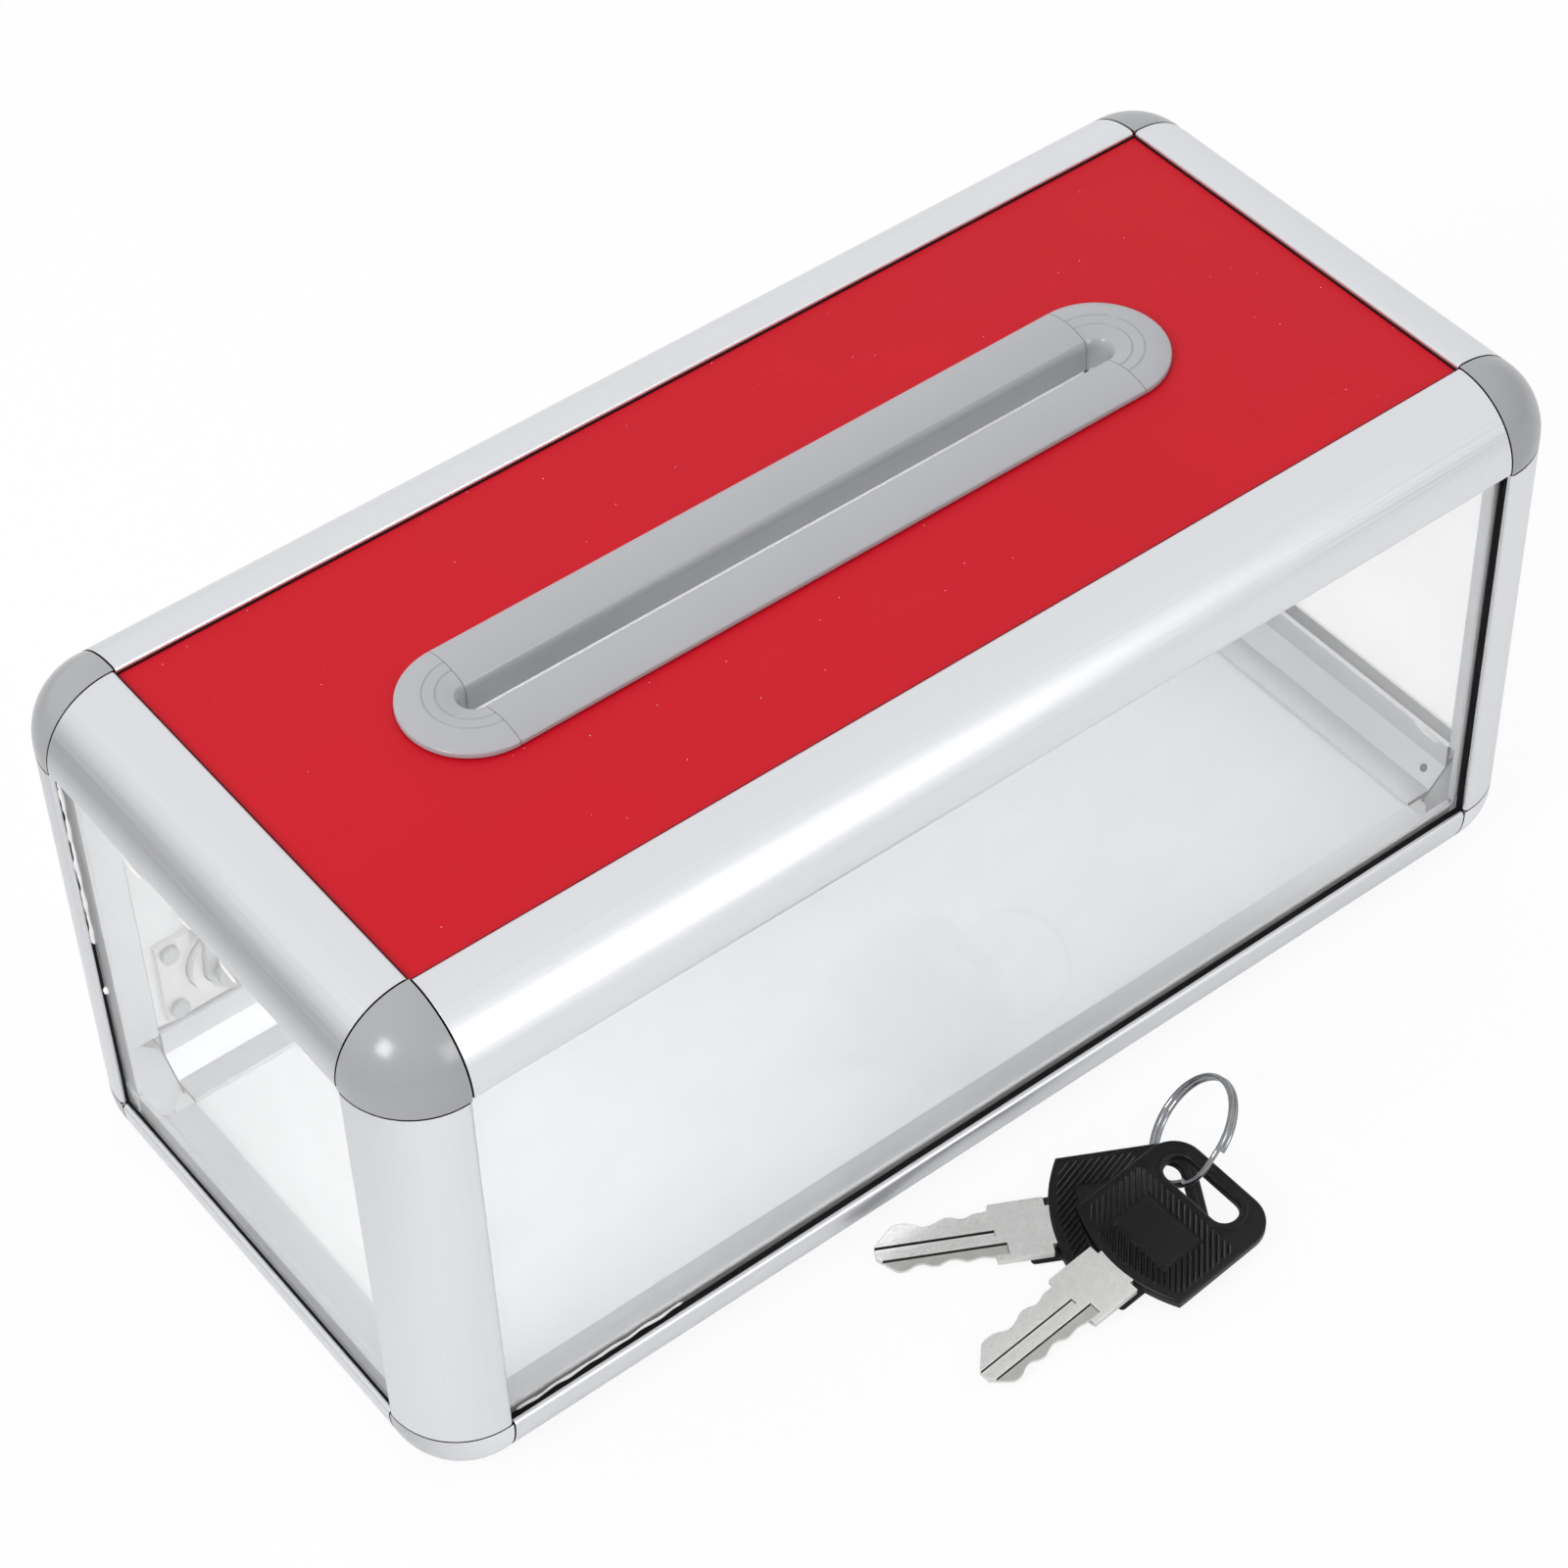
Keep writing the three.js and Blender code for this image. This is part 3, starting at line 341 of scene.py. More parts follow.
def carved(bm, cutters):
    """A mesh with other meshes cut out of it."""
    objects = []
    for part in [bm, *cutters]:
        mesh = bpy.data.meshes.new("carving")
        part.to_mesh(mesh)
        part.free()
        held = bpy.data.objects.new("carving", mesh)
        bpy.context.scene.collection.objects.link(held)
        objects.append(held)
    for tool in objects[1:]:
        cut = objects[0].modifiers.new("cut", "BOOLEAN")
        cut.operation = "DIFFERENCE"
        cut.solver = "EXACT"
        cut.object = tool
    bpy.context.view_layer.update()
    settled = objects[0].evaluated_get(bpy.context.evaluated_depsgraph_get())
    result = bmesh.new()
    result.from_mesh(settled.to_mesh())
    settled.to_mesh_clear()
    for held in objects:
        mesh = held.data
        bpy.data.objects.remove(held)
        bpy.data.meshes.remove(mesh)
    return result


def settle(bm, name, crease=32):
    """The finished mesh in metres, smooth apart from its creases."""
    bmesh.ops.scale(bm, vec=(MM, MM, MM), verts=bm.verts)
    limit = math.radians(crease)
    for face in bm.faces:
        face.smooth = True
    for edge in bm.edges:
        edge.smooth = len(edge.link_faces) == 2 and edge.calc_face_angle(0) < limit
    mesh = bpy.data.meshes.new(name)
    bm.to_mesh(mesh)
    bm.free()
    return mesh


def add_piece(name, mesh, finish, body, nodes=(), matrix=None, edge=0.0, steps=2):
    """A piece of the box on its body, standing for its solids."""
    piece = bpy.data.objects.new(name, mesh)
    bpy.context.scene.collection.objects.link(piece)
    if not mesh.materials:
        mesh.materials.append(finish)
    elif mesh.materials[0] is None:
        mesh.materials[0] = finish
    if matrix is not None and body.startswith("key"):
        # The keys lean, so their meshes are turned rather than the objects, which keeps their boxes tight
        mesh.transform(matrix)
    elif matrix is not None:
        piece.matrix_world = matrix
    if edge:
        rounding = piece.modifiers.new("edges", "BEVEL")
        rounding.width = edge
        rounding.segments = steps
        rounding.limit_method = "ANGLE"
        rounding.angle_limit = math.radians(32)
        rounding.harden_normals = True
        rounding.use_clamp_overlap = True
    # The photograph's front pane holds no reflection of the keys
    piece.visible_glossy = not body.startswith("key")
    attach(piece, body)
    if nodes:
        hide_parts(*nodes)
    return piece


def add(tree, kind, settings=None, links=None):
    """Adds a node: capital names and numbers set its sockets, small ones its settings."""
    node = tree.nodes.new(kind)
    for key, value in (settings or {}).items():
        if isinstance(key, int) or key[0].isupper():
            node.inputs[key].default_value = value
        else:
            setattr(node, key, value)
    for key, socket in (links or {}).items():
        tree.links.new(socket, node.inputs[key])
    return node


def start_material(name, colour, **sockets):
    """A material with one principled shader, its constant values set on the shader."""
    material = bpy.data.materials.get(name)
    if material:
        return material, None, None
    material = bpy.data.materials.new(name)
    material.use_nodes = True
    tree = material.node_tree
    shader = tree.nodes["Principled BSDF"]
    shader.inputs["Base Color"].default_value = (*colour, 1)
    for key, value in sockets.items():
        shader.inputs[key.replace("_", " ")].default_value = value
    material.diffuse_color = (*colour, 1)
    return material, tree, shader


def per_metre(millimetres):
    """How many pattern steps of that size fit in a metre."""
    return 1 / (millimetres * MM)


def noise(tree, place, millimetres, detail):
    """Noise with patches of about that size."""
    settings = {"Scale": per_metre(millimetres), "Detail": detail}
    return add(tree, "ShaderNodeTexNoise", settings, {"Vector": place}).outputs[0]


def streaks(tree, place, steps, detail, turn=0.0):
    """Noise drawn out into lines by different steps in millimetres along X, Y and Z."""
    settings = {"Scale": [per_metre(step) for step in steps], "Rotation": (0, 0, turn)}
    along = add(tree, "ShaderNodeMapping", settings, {"Vector": place})
    settings = {"Scale": 1.0, "Detail": detail}
    return add(tree, "ShaderNodeTexNoise", settings, {"Vector": along.outputs[0]}).outputs[0]


def spread(tree, value, low, high):
    """A noise value spread over a range."""
    settings = {"From Min": 0.3, "From Max": 0.7, "To Min": low, "To Max": high}
    return add(tree, "ShaderNodeMapRange", settings, {"Value": value}).outputs[0]


def math_node(tree, operation, first, second, third=None):
    """One step of arithmetic on sockets and numbers."""
    values = {i: value for i, value in enumerate((first, second, third)) if value is not None}
    numbers = {i: value for i, value in values.items() if isinstance(value, (int, float))}
    links = {i: value for i, value in values.items() if i not in numbers}
    return add(tree, "ShaderNodeMath", {"operation": operation, **numbers}, links).outputs[0]


def tone(tree, shader, colour, dark, light, amount):
    """Lets the shader's colour vary between a darker and a lighter tone."""
    ends = [tuple(min(1, c * level) for c in colour) for level in (dark, light)]
    settings = {"data_type": "RGBA", 6: (*ends[0], 1), 7: (*ends[1], 1)}
    mixed = add(tree, "ShaderNodeMix", settings, {0: amount}).outputs[2]
    tree.links.new(mixed, shader.inputs["Base Color"])
    return mixed


def relief(tree, shader, height, strength, millimetres):
    """Gives the shader a fine relief."""
    settings = {"Strength": strength, "Distance": millimetres * MM}
    bump = add(tree, "ShaderNodeBump", settings, {"Height": height})
    tree.links.new(bump.outputs[0], shader.inputs["Normal"])


def anodised_aluminium(colour):
    """Anodised aluminium, drawn through a die: soft sheen, faint lines along the bar, tiny pits."""
    material, tree, shader = start_material("Anodised aluminium, drawn", colour, Metallic=1.0)
    if tree is None:
        return material
    place = add(tree, "ShaderNodeTexCoord").outputs["Object"]
    # Die lines 0.3 mm apart and about 60 mm long, oxide mottling 9 mm across,
    # grit of the etched skin 0.12 mm
    lines = streaks(tree, place, (0.3, 0.3, 60), 3.0)
    cloud = noise(tree, place, 9, 4.0)
    grit = noise(tree, place, 0.12, 2.0)
    mottled = math_node(tree, "MULTIPLY_ADD", cloud, 0.06, -0.03)
    rough = math_node(tree, "ADD", spread(tree, lines, 0.34, 0.44), mottled)
    tree.links.new(rough, shader.inputs["Roughness"])
    tone(tree, shader, colour, 0.95, 1.04, lines)
    relief(tree, shader, math_node(tree, "MULTIPLY_ADD", grit, 0.35, lines), 0.06, 0.02)
    return material


def moulded_abs(name, colour, roughness, grain, depth, specular=0.5):
    """ABS, injection moulded: semi-gloss with a slight orange peel and a few flow clouds."""
    material, tree, shader = start_material(name, colour, IOR=1.53, Specular_IOR_Level=specular)
    if tree is None:
        return material
    place = add(tree, "ShaderNodeTexCoord").outputs["Object"]
    peel = noise(tree, place, grain, 2.0)
    # Flow clouds 14 mm across
    flow = noise(tree, place, 14, 3.0)
    tree.links.new(spread(tree, flow, roughness * 0.88, roughness * 1.14), shader.inputs["Roughness"])
    tone(tree, shader, colour, 0.96, 1.03, flow)
    relief(tree, shader, peel, 0.12, depth)
    return material


def cast_acrylic():
    """Acrylic, cast between glass plates: colourless, with a faint white haze from wiping."""
    # The IOR starts from acrylic's 1.49 and is matched lower, as the photograph's panes reflect very little
    material, tree, shader = start_material("Acrylic, cast clear", (1.0, 1.0, 1.0), IOR=1.2, Roughness=0.0,
                                            Specular_IOR_Level=0.08)
    if tree is None:
        return material
    # Wiping marks about 40 mm across
    place = add(tree, "ShaderNodeTexCoord").outputs["Object"]
    haze = spread(tree, noise(tree, place, 40, 4.0), 0.87, 0.93)
    tree.links.new(haze, shader.inputs["Transmission Weight"])
    # Light passes straight through for shadows, as it does through a thin clear pane
    path = add(tree, "ShaderNodeLightPath")
    clear = add(tree, "ShaderNodeBsdfTransparent", {"Color": (0.96, 0.965, 0.965, 1)})
    mixed = add(tree, "ShaderNodeMixShader", None,
                {0: path.outputs["Is Shadow Ray"], 1: shader.outputs[0], 2: clear.outputs[0]})
    tree.links.new(mixed.outputs[0], tree.nodes["Material Output"].inputs["Surface"])
    return material


def satin_sheet(name, colour, specks):
    """PVC foam board with a satin calendered face: even colour, a fine emboss, a little dust."""
    material, tree, shader = start_material(name, colour, Roughness=0.42, Specular_IOR_Level=0.18)
    if tree is None:
        return material
    place = add(tree, "ShaderNodeTexCoord").outputs["Object"]
    # Emboss of the rolls 0.25 mm, clouds of colour 30 mm
    grain = noise(tree, place, 0.25, 2.0)
    clouded = tone(tree, shader, colour, 0.95, 1.04, noise(tree, place, 30, 3.0))
    # Dust specks 0.2 mm across, one to about 3 mm of cell, only in some cells
    cells = add(tree, "ShaderNodeTexVoronoi", {"Scale": per_metre(3)}, {"Vector": place})
    near = math_node(tree, "LESS_THAN", cells.outputs["Distance"], 0.034)
    pick = add(tree, "ShaderNodeSeparateColor", None, {0: cells.outputs["Color"]})
    some = math_node(tree, "LESS_THAN", pick.outputs[0], 0.6)
    amount = math_node(tree, "MULTIPLY", math_node(tree, "MULTIPLY", near, some), specks)
    dust = {"data_type": "RGBA", 7: (0.85, 0.8, 0.8, 1)}
    dusty = add(tree, "ShaderNodeMix", dust, {0: amount, 6: clouded})
    tree.links.new(dusty.outputs[2], shader.inputs["Base Color"])
    relief(tree, shader, grain, 0.08, 0.02)
    return material


def plated(name, colour, roughness, spacing):
    """Steel, brass or zinc with a thin plating: bright metal with fine rubbed scratches and small stains."""
    material, tree, shader = start_material(name, colour, Metallic=1.0)
    if tree is None:
        return material
    place = add(tree, "ShaderNodeTexCoord").outputs["Object"]
    # Scratches twelve times as long as they are apart, stains 2.2 mm across
    scratch = streaks(tree, place, (spacing * 12, spacing, spacing), 4.0, 0.5)
    tree.links.new(spread(tree, scratch, roughness * 0.8, roughness * 1.25), shader.inputs["Roughness"])
    tone(tree, shader, colour, 0.88, 1.08, noise(tree, place, 2.2, 5.0))
    relief(tree, shader, scratch, 0.1, 0.02)
    return material


def painted_shade_finish(colour):
    """A dull dark finish, painted shade: on the strips beside the panes and in the seams, gaps and dimples.
    """
    material, tree, shader = start_material("Painted shade, dull dark", colour, Roughness=0.75,
                                            Specular_IOR_Level=0.12)
    if tree is None:
        return material
    # A fine grain 0.4 mm across
    place = add(tree, "ShaderNodeTexCoord").outputs["Object"]
    relief(tree, shader, noise(tree, place, 0.4, 2.0), 0.2, 0.05)
    return material


def sizes():
    """The user's sizes."""
    return bpy.context.scene.card_box_sizes


def colours():
    """The user's colours."""
    return bpy.context.scene.card_box_colours


def channel():
    """The hollow inside a bar's section, as in the solids."""
    wall = GROOVE_FLOOR - WEB
    radius = EDGE_RADIUS - SKIN
    reach = math.sqrt(radius ** 2 - (EDGE_RADIUS - wall) ** 2)
    open_angle = math.degrees(math.atan2(EDGE_RADIUS - wall, reach))
    slant = EDGE - math.sqrt(2)
    curve = arc((EDGE_RADIUS, EDGE_RADIUS), radius, 180 + open_angle, 270 - open_angle, 16)
    return [*curve, (wall, slant - wall), (slant - wall, wall)]


def bar_outline():
    """The bar's section: quarter-round outside, a sheet groove on each side, a slanted inner wall."""
    lip = arc((EDGE - LIP_ROUND, LIP_ROUND), LIP_ROUND, -90, 0, 5)
    half = [*lip, (EDGE, LIP), (GROOVE_FLOOR, LIP), (GROOVE_FLOOR, GROOVE_END), (EDGE, GROOVE_END),
            (EDGE, FLANGE_END), (EDGE - FLANGE_END, FLANGE_END)]
    mirrored = [(v, u) for u, v in reversed(half)]
    return [*arc((EDGE_RADIUS, EDGE_RADIUS), EDGE_RADIUS, 180, 270, 30), *half, *mirrored]


def bar_mesh(span, name, punched):
    """A bar between two caps, its length along Z; a punched one has a dimple near each end inside, painted
    dark as the shade in a hole.
    """
    half = span / 2 - EDGE - SEAM
    dimple, on_wall, from_end = 1.2, 8.1, 3.7
    bar = slab(bar_outline(), [channel()], -half, half)
    middles = [Vector((on_wall, on_wall, side * (half - from_end))) for side in (-1, 1)] if punched else []
    dishes = []
    for middle in middles:
        dish = bmesh.new()
        bmesh.ops.create_uvsphere(dish, u_segments=20, v_segments=10, radius=dimple,
                                  matrix=Matrix.Translation(middle))
        dishes.append(dish)
    # The bar's end faces take the dark colour: painted shade in the seams to the caps
    mesh = with_painted_seam_shade(settle(carved(bar, dishes) if dishes else bar, name), [(2, -half), (2, half)])
    # The dimples take the dark colour too: painted shade, as in a drilled hole
    for face in mesh.polygons:
        if any((face.center / MM - middle).length < dimple + 0.01 for middle in middles):
            face.material_index = 1
    return mesh


def with_painted_seam_shade(mesh, ends):
    """A mesh with painted shade, a dark colour, on its faces at some (axis, place) ends, so that the seams
    read as lines.
    """
    mesh.materials.append(None)
    mesh.materials.append(painted_shade_finish(colours().strip))
    for face in mesh.polygons:
        for axis, place in ends:
            if abs(face.center[axis] / MM - place) < 0.01 and abs(face.normal[axis]) > 0.9:
                face.material_index = 1
    return mesh


class CARDBOX_OT_edge_bars(bpy.types.Operator):
    """Makes the drawn aluminium bars along all the box's edges"""

    bl_idname = "cardbox.edge_bars"
    bl_label = "Edge bars"

    def execute(self, context):
        finish = anodised_aluminium(colours().aluminium)
        spans = {"x": LENGTH, "y": WIDTH, "z": HEIGHT}
        meshes = {axis: bar_mesh(span, f"bar_{axis}", axis == "y") for axis, span in spans.items()}
        up = {"bottom": (1, 0), "top": (-1, HEIGHT)}
        deep = {"front": (1, 0), "rear": (-1, WIDTH)}
        aside = {"left": (1, 0), "right": (-1, LENGTH)}
        places = {}
        for level, (rise, z) in up.items():
            for side, (inward, y) in deep.items():
                places[f"{level}_{side}_bar"] = ("x", (0, inward, 0), (0, 0, rise), (LENGTH / 2, y, z))
            for side, (inward, x) in aside.items():
                places[f"{level}_{side}_bar"] = ("y", (inward, 0, 0), (0, 0, rise), (x, WIDTH / 2, z))
        for depth, (back, y) in deep.items():
            for side, (inward, x) in aside.items():
                places[f"{depth}_{side}_post"] = ("z", (inward, 0, 0), (0, back, 0), (x, y, HEIGHT / 2))
        for node, (axis, along, across, place) in places.items():
            matrix = turn_to(along, across, corner(*place))
            add_piece(f"{node}_drawn", meshes[axis], finish, "box", [node], matrix,
                      sizes().bar_edge)
        return {"FINISHED"}


def cap_shell():
    """A corner cap's rounded outside, from its outer corner inward to the seams."""
    steps = 14
    slopes = [math.tan(math.pi / 4 * (1 - i / steps)) for i in range(steps + 1)]
    marks = [EDGE_RADIUS - EDGE_RADIUS * slope for slope in slopes] + [EDGE]
    bm = bmesh.new()
    made = {}

    def vertex(*place):
        """The point of the rounded corner that stands for a point of the sharp one."""
        centre = Vector([max(p, EDGE_RADIUS) for p in place])
        out = (Vector(place) - centre).normalized()
        co = centre + out * EDGE_RADIUS
        key = tuple(round(c, 4) for c in co)
        if key not in made:
            made[key] = bm.verts.new(co)
        return made[key]

    for axis in range(3):
        for i in range(len(marks) - 1):
            for j in range(len(marks) - 1):
                loop = []
                for a, b in ((i, j), (i + 1, j), (i + 1, j + 1), (i, j + 1)):
                    place = [marks[a], marks[b]]
                    place.insert(axis, 0.0)
                    loop.append(vertex(*place))
                bm.faces.new(loop)
    return bm


def cap_solid():
    """The cap closed at its three seams and its slanted inner face, with pockets for the panes' corners."""
    shell = cap_shell()
    points = [(EDGE, EDGE, 0), (EDGE, 0, EDGE), (0, EDGE, EDGE)]
    verts = {key: min(shell.verts, key=lambda v: (v.co - Vector(key)).length) for key in points}
    loose = {edge for edge in shell.edges if edge.is_boundary}
    for axis in range(3):
        seam = [e for e in loose if all(abs(v.co[axis] - EDGE) < 1e-3 for v in e.verts)]
        ends = [verts[p] for p in points if p[axis] == EDGE]
        chord = shell.edges.get(ends) or shell.edges.new(ends)
        bmesh.ops.contextual_create(shell, geom=[*seam, chord])
    shell.faces.new([verts[p] for p in points])
    bmesh.ops.recalc_face_normals(shell, faces=shell.faces)
    past = EDGE + 1
    pockets = []
    for axis in range(3):
        low = [GROOVE_FLOOR] * 3
        high = [past] * 3
        low[axis] = LIP
        high[axis] = GROOVE_END
        pockets.append(block(low, high))
    return carved(shell, pockets)


class CARDBOX_OT_corner_caps(bpy.types.Operator):
    """Makes the moulded caps on the box's corners"""

    bl_idname = "cardbox.corner_caps"
    bl_label = "Corner caps"

    def execute(self, context):
        finish = moulded_abs("ABS, moulded semi-gloss grey", colours().caps, 0.22, 0.7, 0.02)
        # The cap's faces at its three seams take the dark colour: painted shade, so that the seams read as
        # lines
        mesh = with_painted_seam_shade(settle(cap_solid(), "corner_cap"), [(axis, EDGE) for axis in range(3)])
        for level, rise, z in (("bottom", 1, 0), ("top", -1, HEIGHT)):
            for depth, back, y in (("front", 1, 0), ("rear", -1, WIDTH)):
                for side, inward, x in (("left", 1, 0), ("right", -1, LENGTH)):
                    node = f"corner_cap_{level}_{depth}_{side}"
                    along, across = (inward, 0, 0), (0, back, 0)
                    if inward * back * rise < 0:
                        along, across = across, along
                    matrix = turn_to(along, across, corner(x, y, z))
                    add_piece(f"{node}_moulded", mesh, finish, "box", [node], matrix,
                              sizes().cap_edge)
        return {"FINISHED"}


def laid():
    """The matrix that puts a mesh drawn from the box's corner in the row frame."""
    return Matrix.Translation(corner(0, 0, 0))


class CARDBOX_OT_panes(bpy.types.Operator):
    """Makes the clear panes and the dark strips beside them, painted shade in their grooves"""

    bl_idname = "cardbox.panes"
    bl_label = "Panes"

    def execute(self, context):
        clear = cast_acrylic()
        dark_shade = painted_shade_finish(colours().strip)
        far_x, far_y, far_z = LENGTH - SHEET_EDGE, WIDTH - SHEET_EDGE, HEIGHT - SHEET_EDGE
        low = SHEET_EDGE
        panes = {
            "front_pane": ((low, PANE_OUTER, low), (far_x, PANE_INNER, far_z)),
            "left_pane": ((END_PANE, low, low), (END_PANE + PANE, far_y, far_z)),
            "right_pane": ((LENGTH - END_PANE - PANE, low, low), (LENGTH - END_PANE, far_y, far_z)),
        }
        for node, (lowest, highest) in panes.items():
            mesh = settle(block(lowest, highest), node)
            add_piece(f"{node}_cast", mesh, clear, "box", [node], laid(), 0.15 * MM)
        self.bead()
        # The strips are painted shade, dark where the grooves lie in shade behind the panes
        for side, boxes in self.strips().items():
            mesh = settle(joined(*[block(*corners) for corners in boxes]), f"{side}_strip")
            add_piece(f"{side}_shaded_groove_strip", mesh, dark_shade, "box", matrix=laid(), edge=0.05 * MM)
        self.glue()
        return {"FINISHED"}

    def bead(self):
        """The white bead around the front pane's inner face: painted highlight, its white standing in for
        the bright glints along the pane's edge.
        """
        # The glue's white colour, put here as painted highlight
        finish = moulded_abs("Painted glint, white", colours().glue, 0.5, 0.6, 0.02)
        low, high = EDGE - 0.9, EDGE - 0.1
        fore, back = PANE_INNER + 0.02, GROOVE_END - 0.02
        runs = [((low, fore, low), (LENGTH - low, back, high)),
                ((low, fore, HEIGHT - high), (LENGTH - low, back, HEIGHT - low)),
                ((low, fore, high), (high, back, HEIGHT - high)),
                ((LENGTH - high, fore, high), (LENGTH - low, back, HEIGHT - high))]
        mesh = settle(joined(*[block(*corners) for corners in runs]), "front_painted_glint")
        add_piece("front_pane_painted_glint", mesh, finish, "box", matrix=laid())

    def strips(self):
        """Corners of the dark strips between the lips and two panes, painted shade for the grooves seen
        through the panes; some stand proud of the lip.
        """
        seat, low, high = GROOVE_FLOOR + 0.1, EDGE - 0.3, EDGE - 0.8
        out, back = LIP + 0.05, PANE_OUTER - 0.05
        front = [((seat, out, seat), (LENGTH - seat, back, low)),
                 ((seat, out, HEIGHT - high), (LENGTH - seat, back, HEIGHT - seat)),
                 ((seat, out, low), (high, back, HEIGHT - high)),
                 ((LENGTH - EDGE - 0.2, out, low), (LENGTH - seat, back, HEIGHT - high))]
        back = END_PANE - 0.05
        proud = EDGE + 0.35
        left = [((out, seat, seat), (back, WIDTH - seat, proud)),
                ((out, seat, HEIGHT - high), (back, WIDTH - seat, HEIGHT - seat)),
                ((out, seat, proud), (back, high, HEIGHT - high)),
                ((out, WIDTH - proud, proud), (back, WIDTH - seat, HEIGHT - high))]
        return {"front": front, "left": left}

    def glue(self):
        """Uneven runs of clear glue where the panes meet the bars."""
        finish = moulded_abs("Hot-melt glue, smeared", colours().glue, 0.25, 1.5, 0.1)
        far = WIDTH - EDGE
        edge, under = END_PANE - 0.15, HEIGHT - EDGE - 2.9
        runs = {
            "left_pane_rear": ((END_PANE - 0.1, far - 0.3, 58), (END_PANE - 0.1, far - 0.3, 100), 0.55),
            "left_pane_rear_drop": ((END_PANE - 0.1, far - 1.6, 46), (END_PANE - 0.1, far - 0.6, 47.5), 0.7),
            "left_pane_top_rear": ((edge, 74, under - 1.2), (edge, 81, under), 0.55),
            "left_pane_top_run": ((edge, 63, under + 0.4), (edge, 74, under + 0.2), 0.25),
            "left_pane_top_middle": ((edge, 59, under - 0.2), (edge, 63, under), 0.4),
            "left_pane_top_front": ((edge, 46, under - 1.4), (edge, 51, under), 0.5),
            "front_pane_low": ((17, PANE_OUTER - 0.2, EDGE - 0.1), (52, PANE_OUTER - 0.2, EDGE + 0.2), 0.34),
            "right_bar_low": ((LENGTH - 6.4, 17, EDGE + 0.2), (LENGTH - 6.0, 24, EDGE + 0.4), 0.7),
        }
        for name, (start, end, thick) in runs.items():
            start, end = Vector(start), Vector(end)
            steps = max(8, int((end - start).length / 0.7))
            path = []
            for i in range(steps + 1):
                wander = Vector((0, math.sin(i * 0.7), math.cos(i * 0.5))) * thick * 0.25
                path.append(start.lerp(end, i / steps) + wander)
            ring = arc((0, 0), 1, 0, 315, 7)
            along = (end - start).normalized()
            aside = Vector((0, 0, 1)) if abs(along.z) < 0.7 else Vector((0, 1, 0))
            across = aside.cross(along)
            beads = [0.16 * math.sin(i * 0.5) + 0.08 * math.sin(i * 1.3 + 1) for i in range(steps + 1)]
            swell = [thick * (0.76 + bead) for bead in beads]
            swell[0] = swell[-1] = thick * 0.12
            run = swept(path, ring, lambda i: across, swell)
            add_piece(f"glue_{name}", settle(run, f"glue_{name}", 80), finish, "box", matrix=laid())


def stadium(half_width, steps=24):
    """A long outline with round ends, about the middle of the top."""
    run = RAIL / 2
    x, y = SLOT_MIDDLE
    right = arc((x + run, y), half_width, -90, 90, steps)
    left = arc((x - run, y), half_width, 90, 270, steps)
    return [*right, *left]


class CARDBOX_OT_sheets(bpy.types.Operator):
    """Makes the red top sheet with its slot and the pale floor sheet"""

    bl_idname = "cardbox.sheets"
    bl_label = "Top and floor"

    def execute(self, context):
        red = satin_sheet("PVC foam board, calendered red", colours().top, 0.6)
        pale = satin_sheet("PVC foam board, calendered pale grey", colours().pale, 0.0)
        low, far_x, far_y = SHEET_EDGE, LENGTH - SHEET_EDGE, WIDTH - SHEET_EDGE
        outline = [(low, low), (far_x, low), (far_x, far_y), (low, far_y)]
        top = slab(outline, [stadium(TRIM_WALL + 0.3)], TOP_FACE - SHEET, TOP_FACE)
        mesh = settle(top, "top_panel")
        mesh.materials.append(red)
        mesh.materials.append(pale)
        for face in mesh.polygons:
            face.material_index = 0 if face.normal.z > 0.5 else 1
        add_piece("top_panel_sheet", mesh, red, "box", ["top_panel"], laid(), 0.1 * MM)
        dark_shade = painted_shade_finish(colours().strip)
        # Dark blocks against the bars' lips are painted shade for the gaps there; they stand higher beside
        # the front and left bars, where the seams look darkest
        near, far = EDGE + 0.02, EDGE + 0.22
        tall, low_lip_shade = HEIGHT - 0.6, TOP_FACE + 0.25
        runs = [((EDGE, near, TOP_FACE), (LENGTH - EDGE, far, tall)),
                ((near, EDGE, TOP_FACE), (far, WIDTH - EDGE, tall)),
                ((EDGE, WIDTH - far, TOP_FACE), (LENGTH - EDGE, WIDTH - near, low_lip_shade)),
                ((LENGTH - far, EDGE, TOP_FACE), (LENGTH - near, WIDTH - EDGE, low_lip_shade))]
        lip_shade_mesh = settle(joined(*[block(*corners) for corners in runs]), "top_lip_shade")
        add_piece("top_lip_shade", lip_shade_mesh, dark_shade, "box", matrix=laid())
        floor = settle(slab(outline, [], FLOOR_UNDER, FLOOR_UNDER + SHEET), "floor_panel")
        add_piece("floor_panel_sheet", floor, pale, "box", ["floor_panel"], laid(), 0.1 * MM)
        return {"FINISHED"}


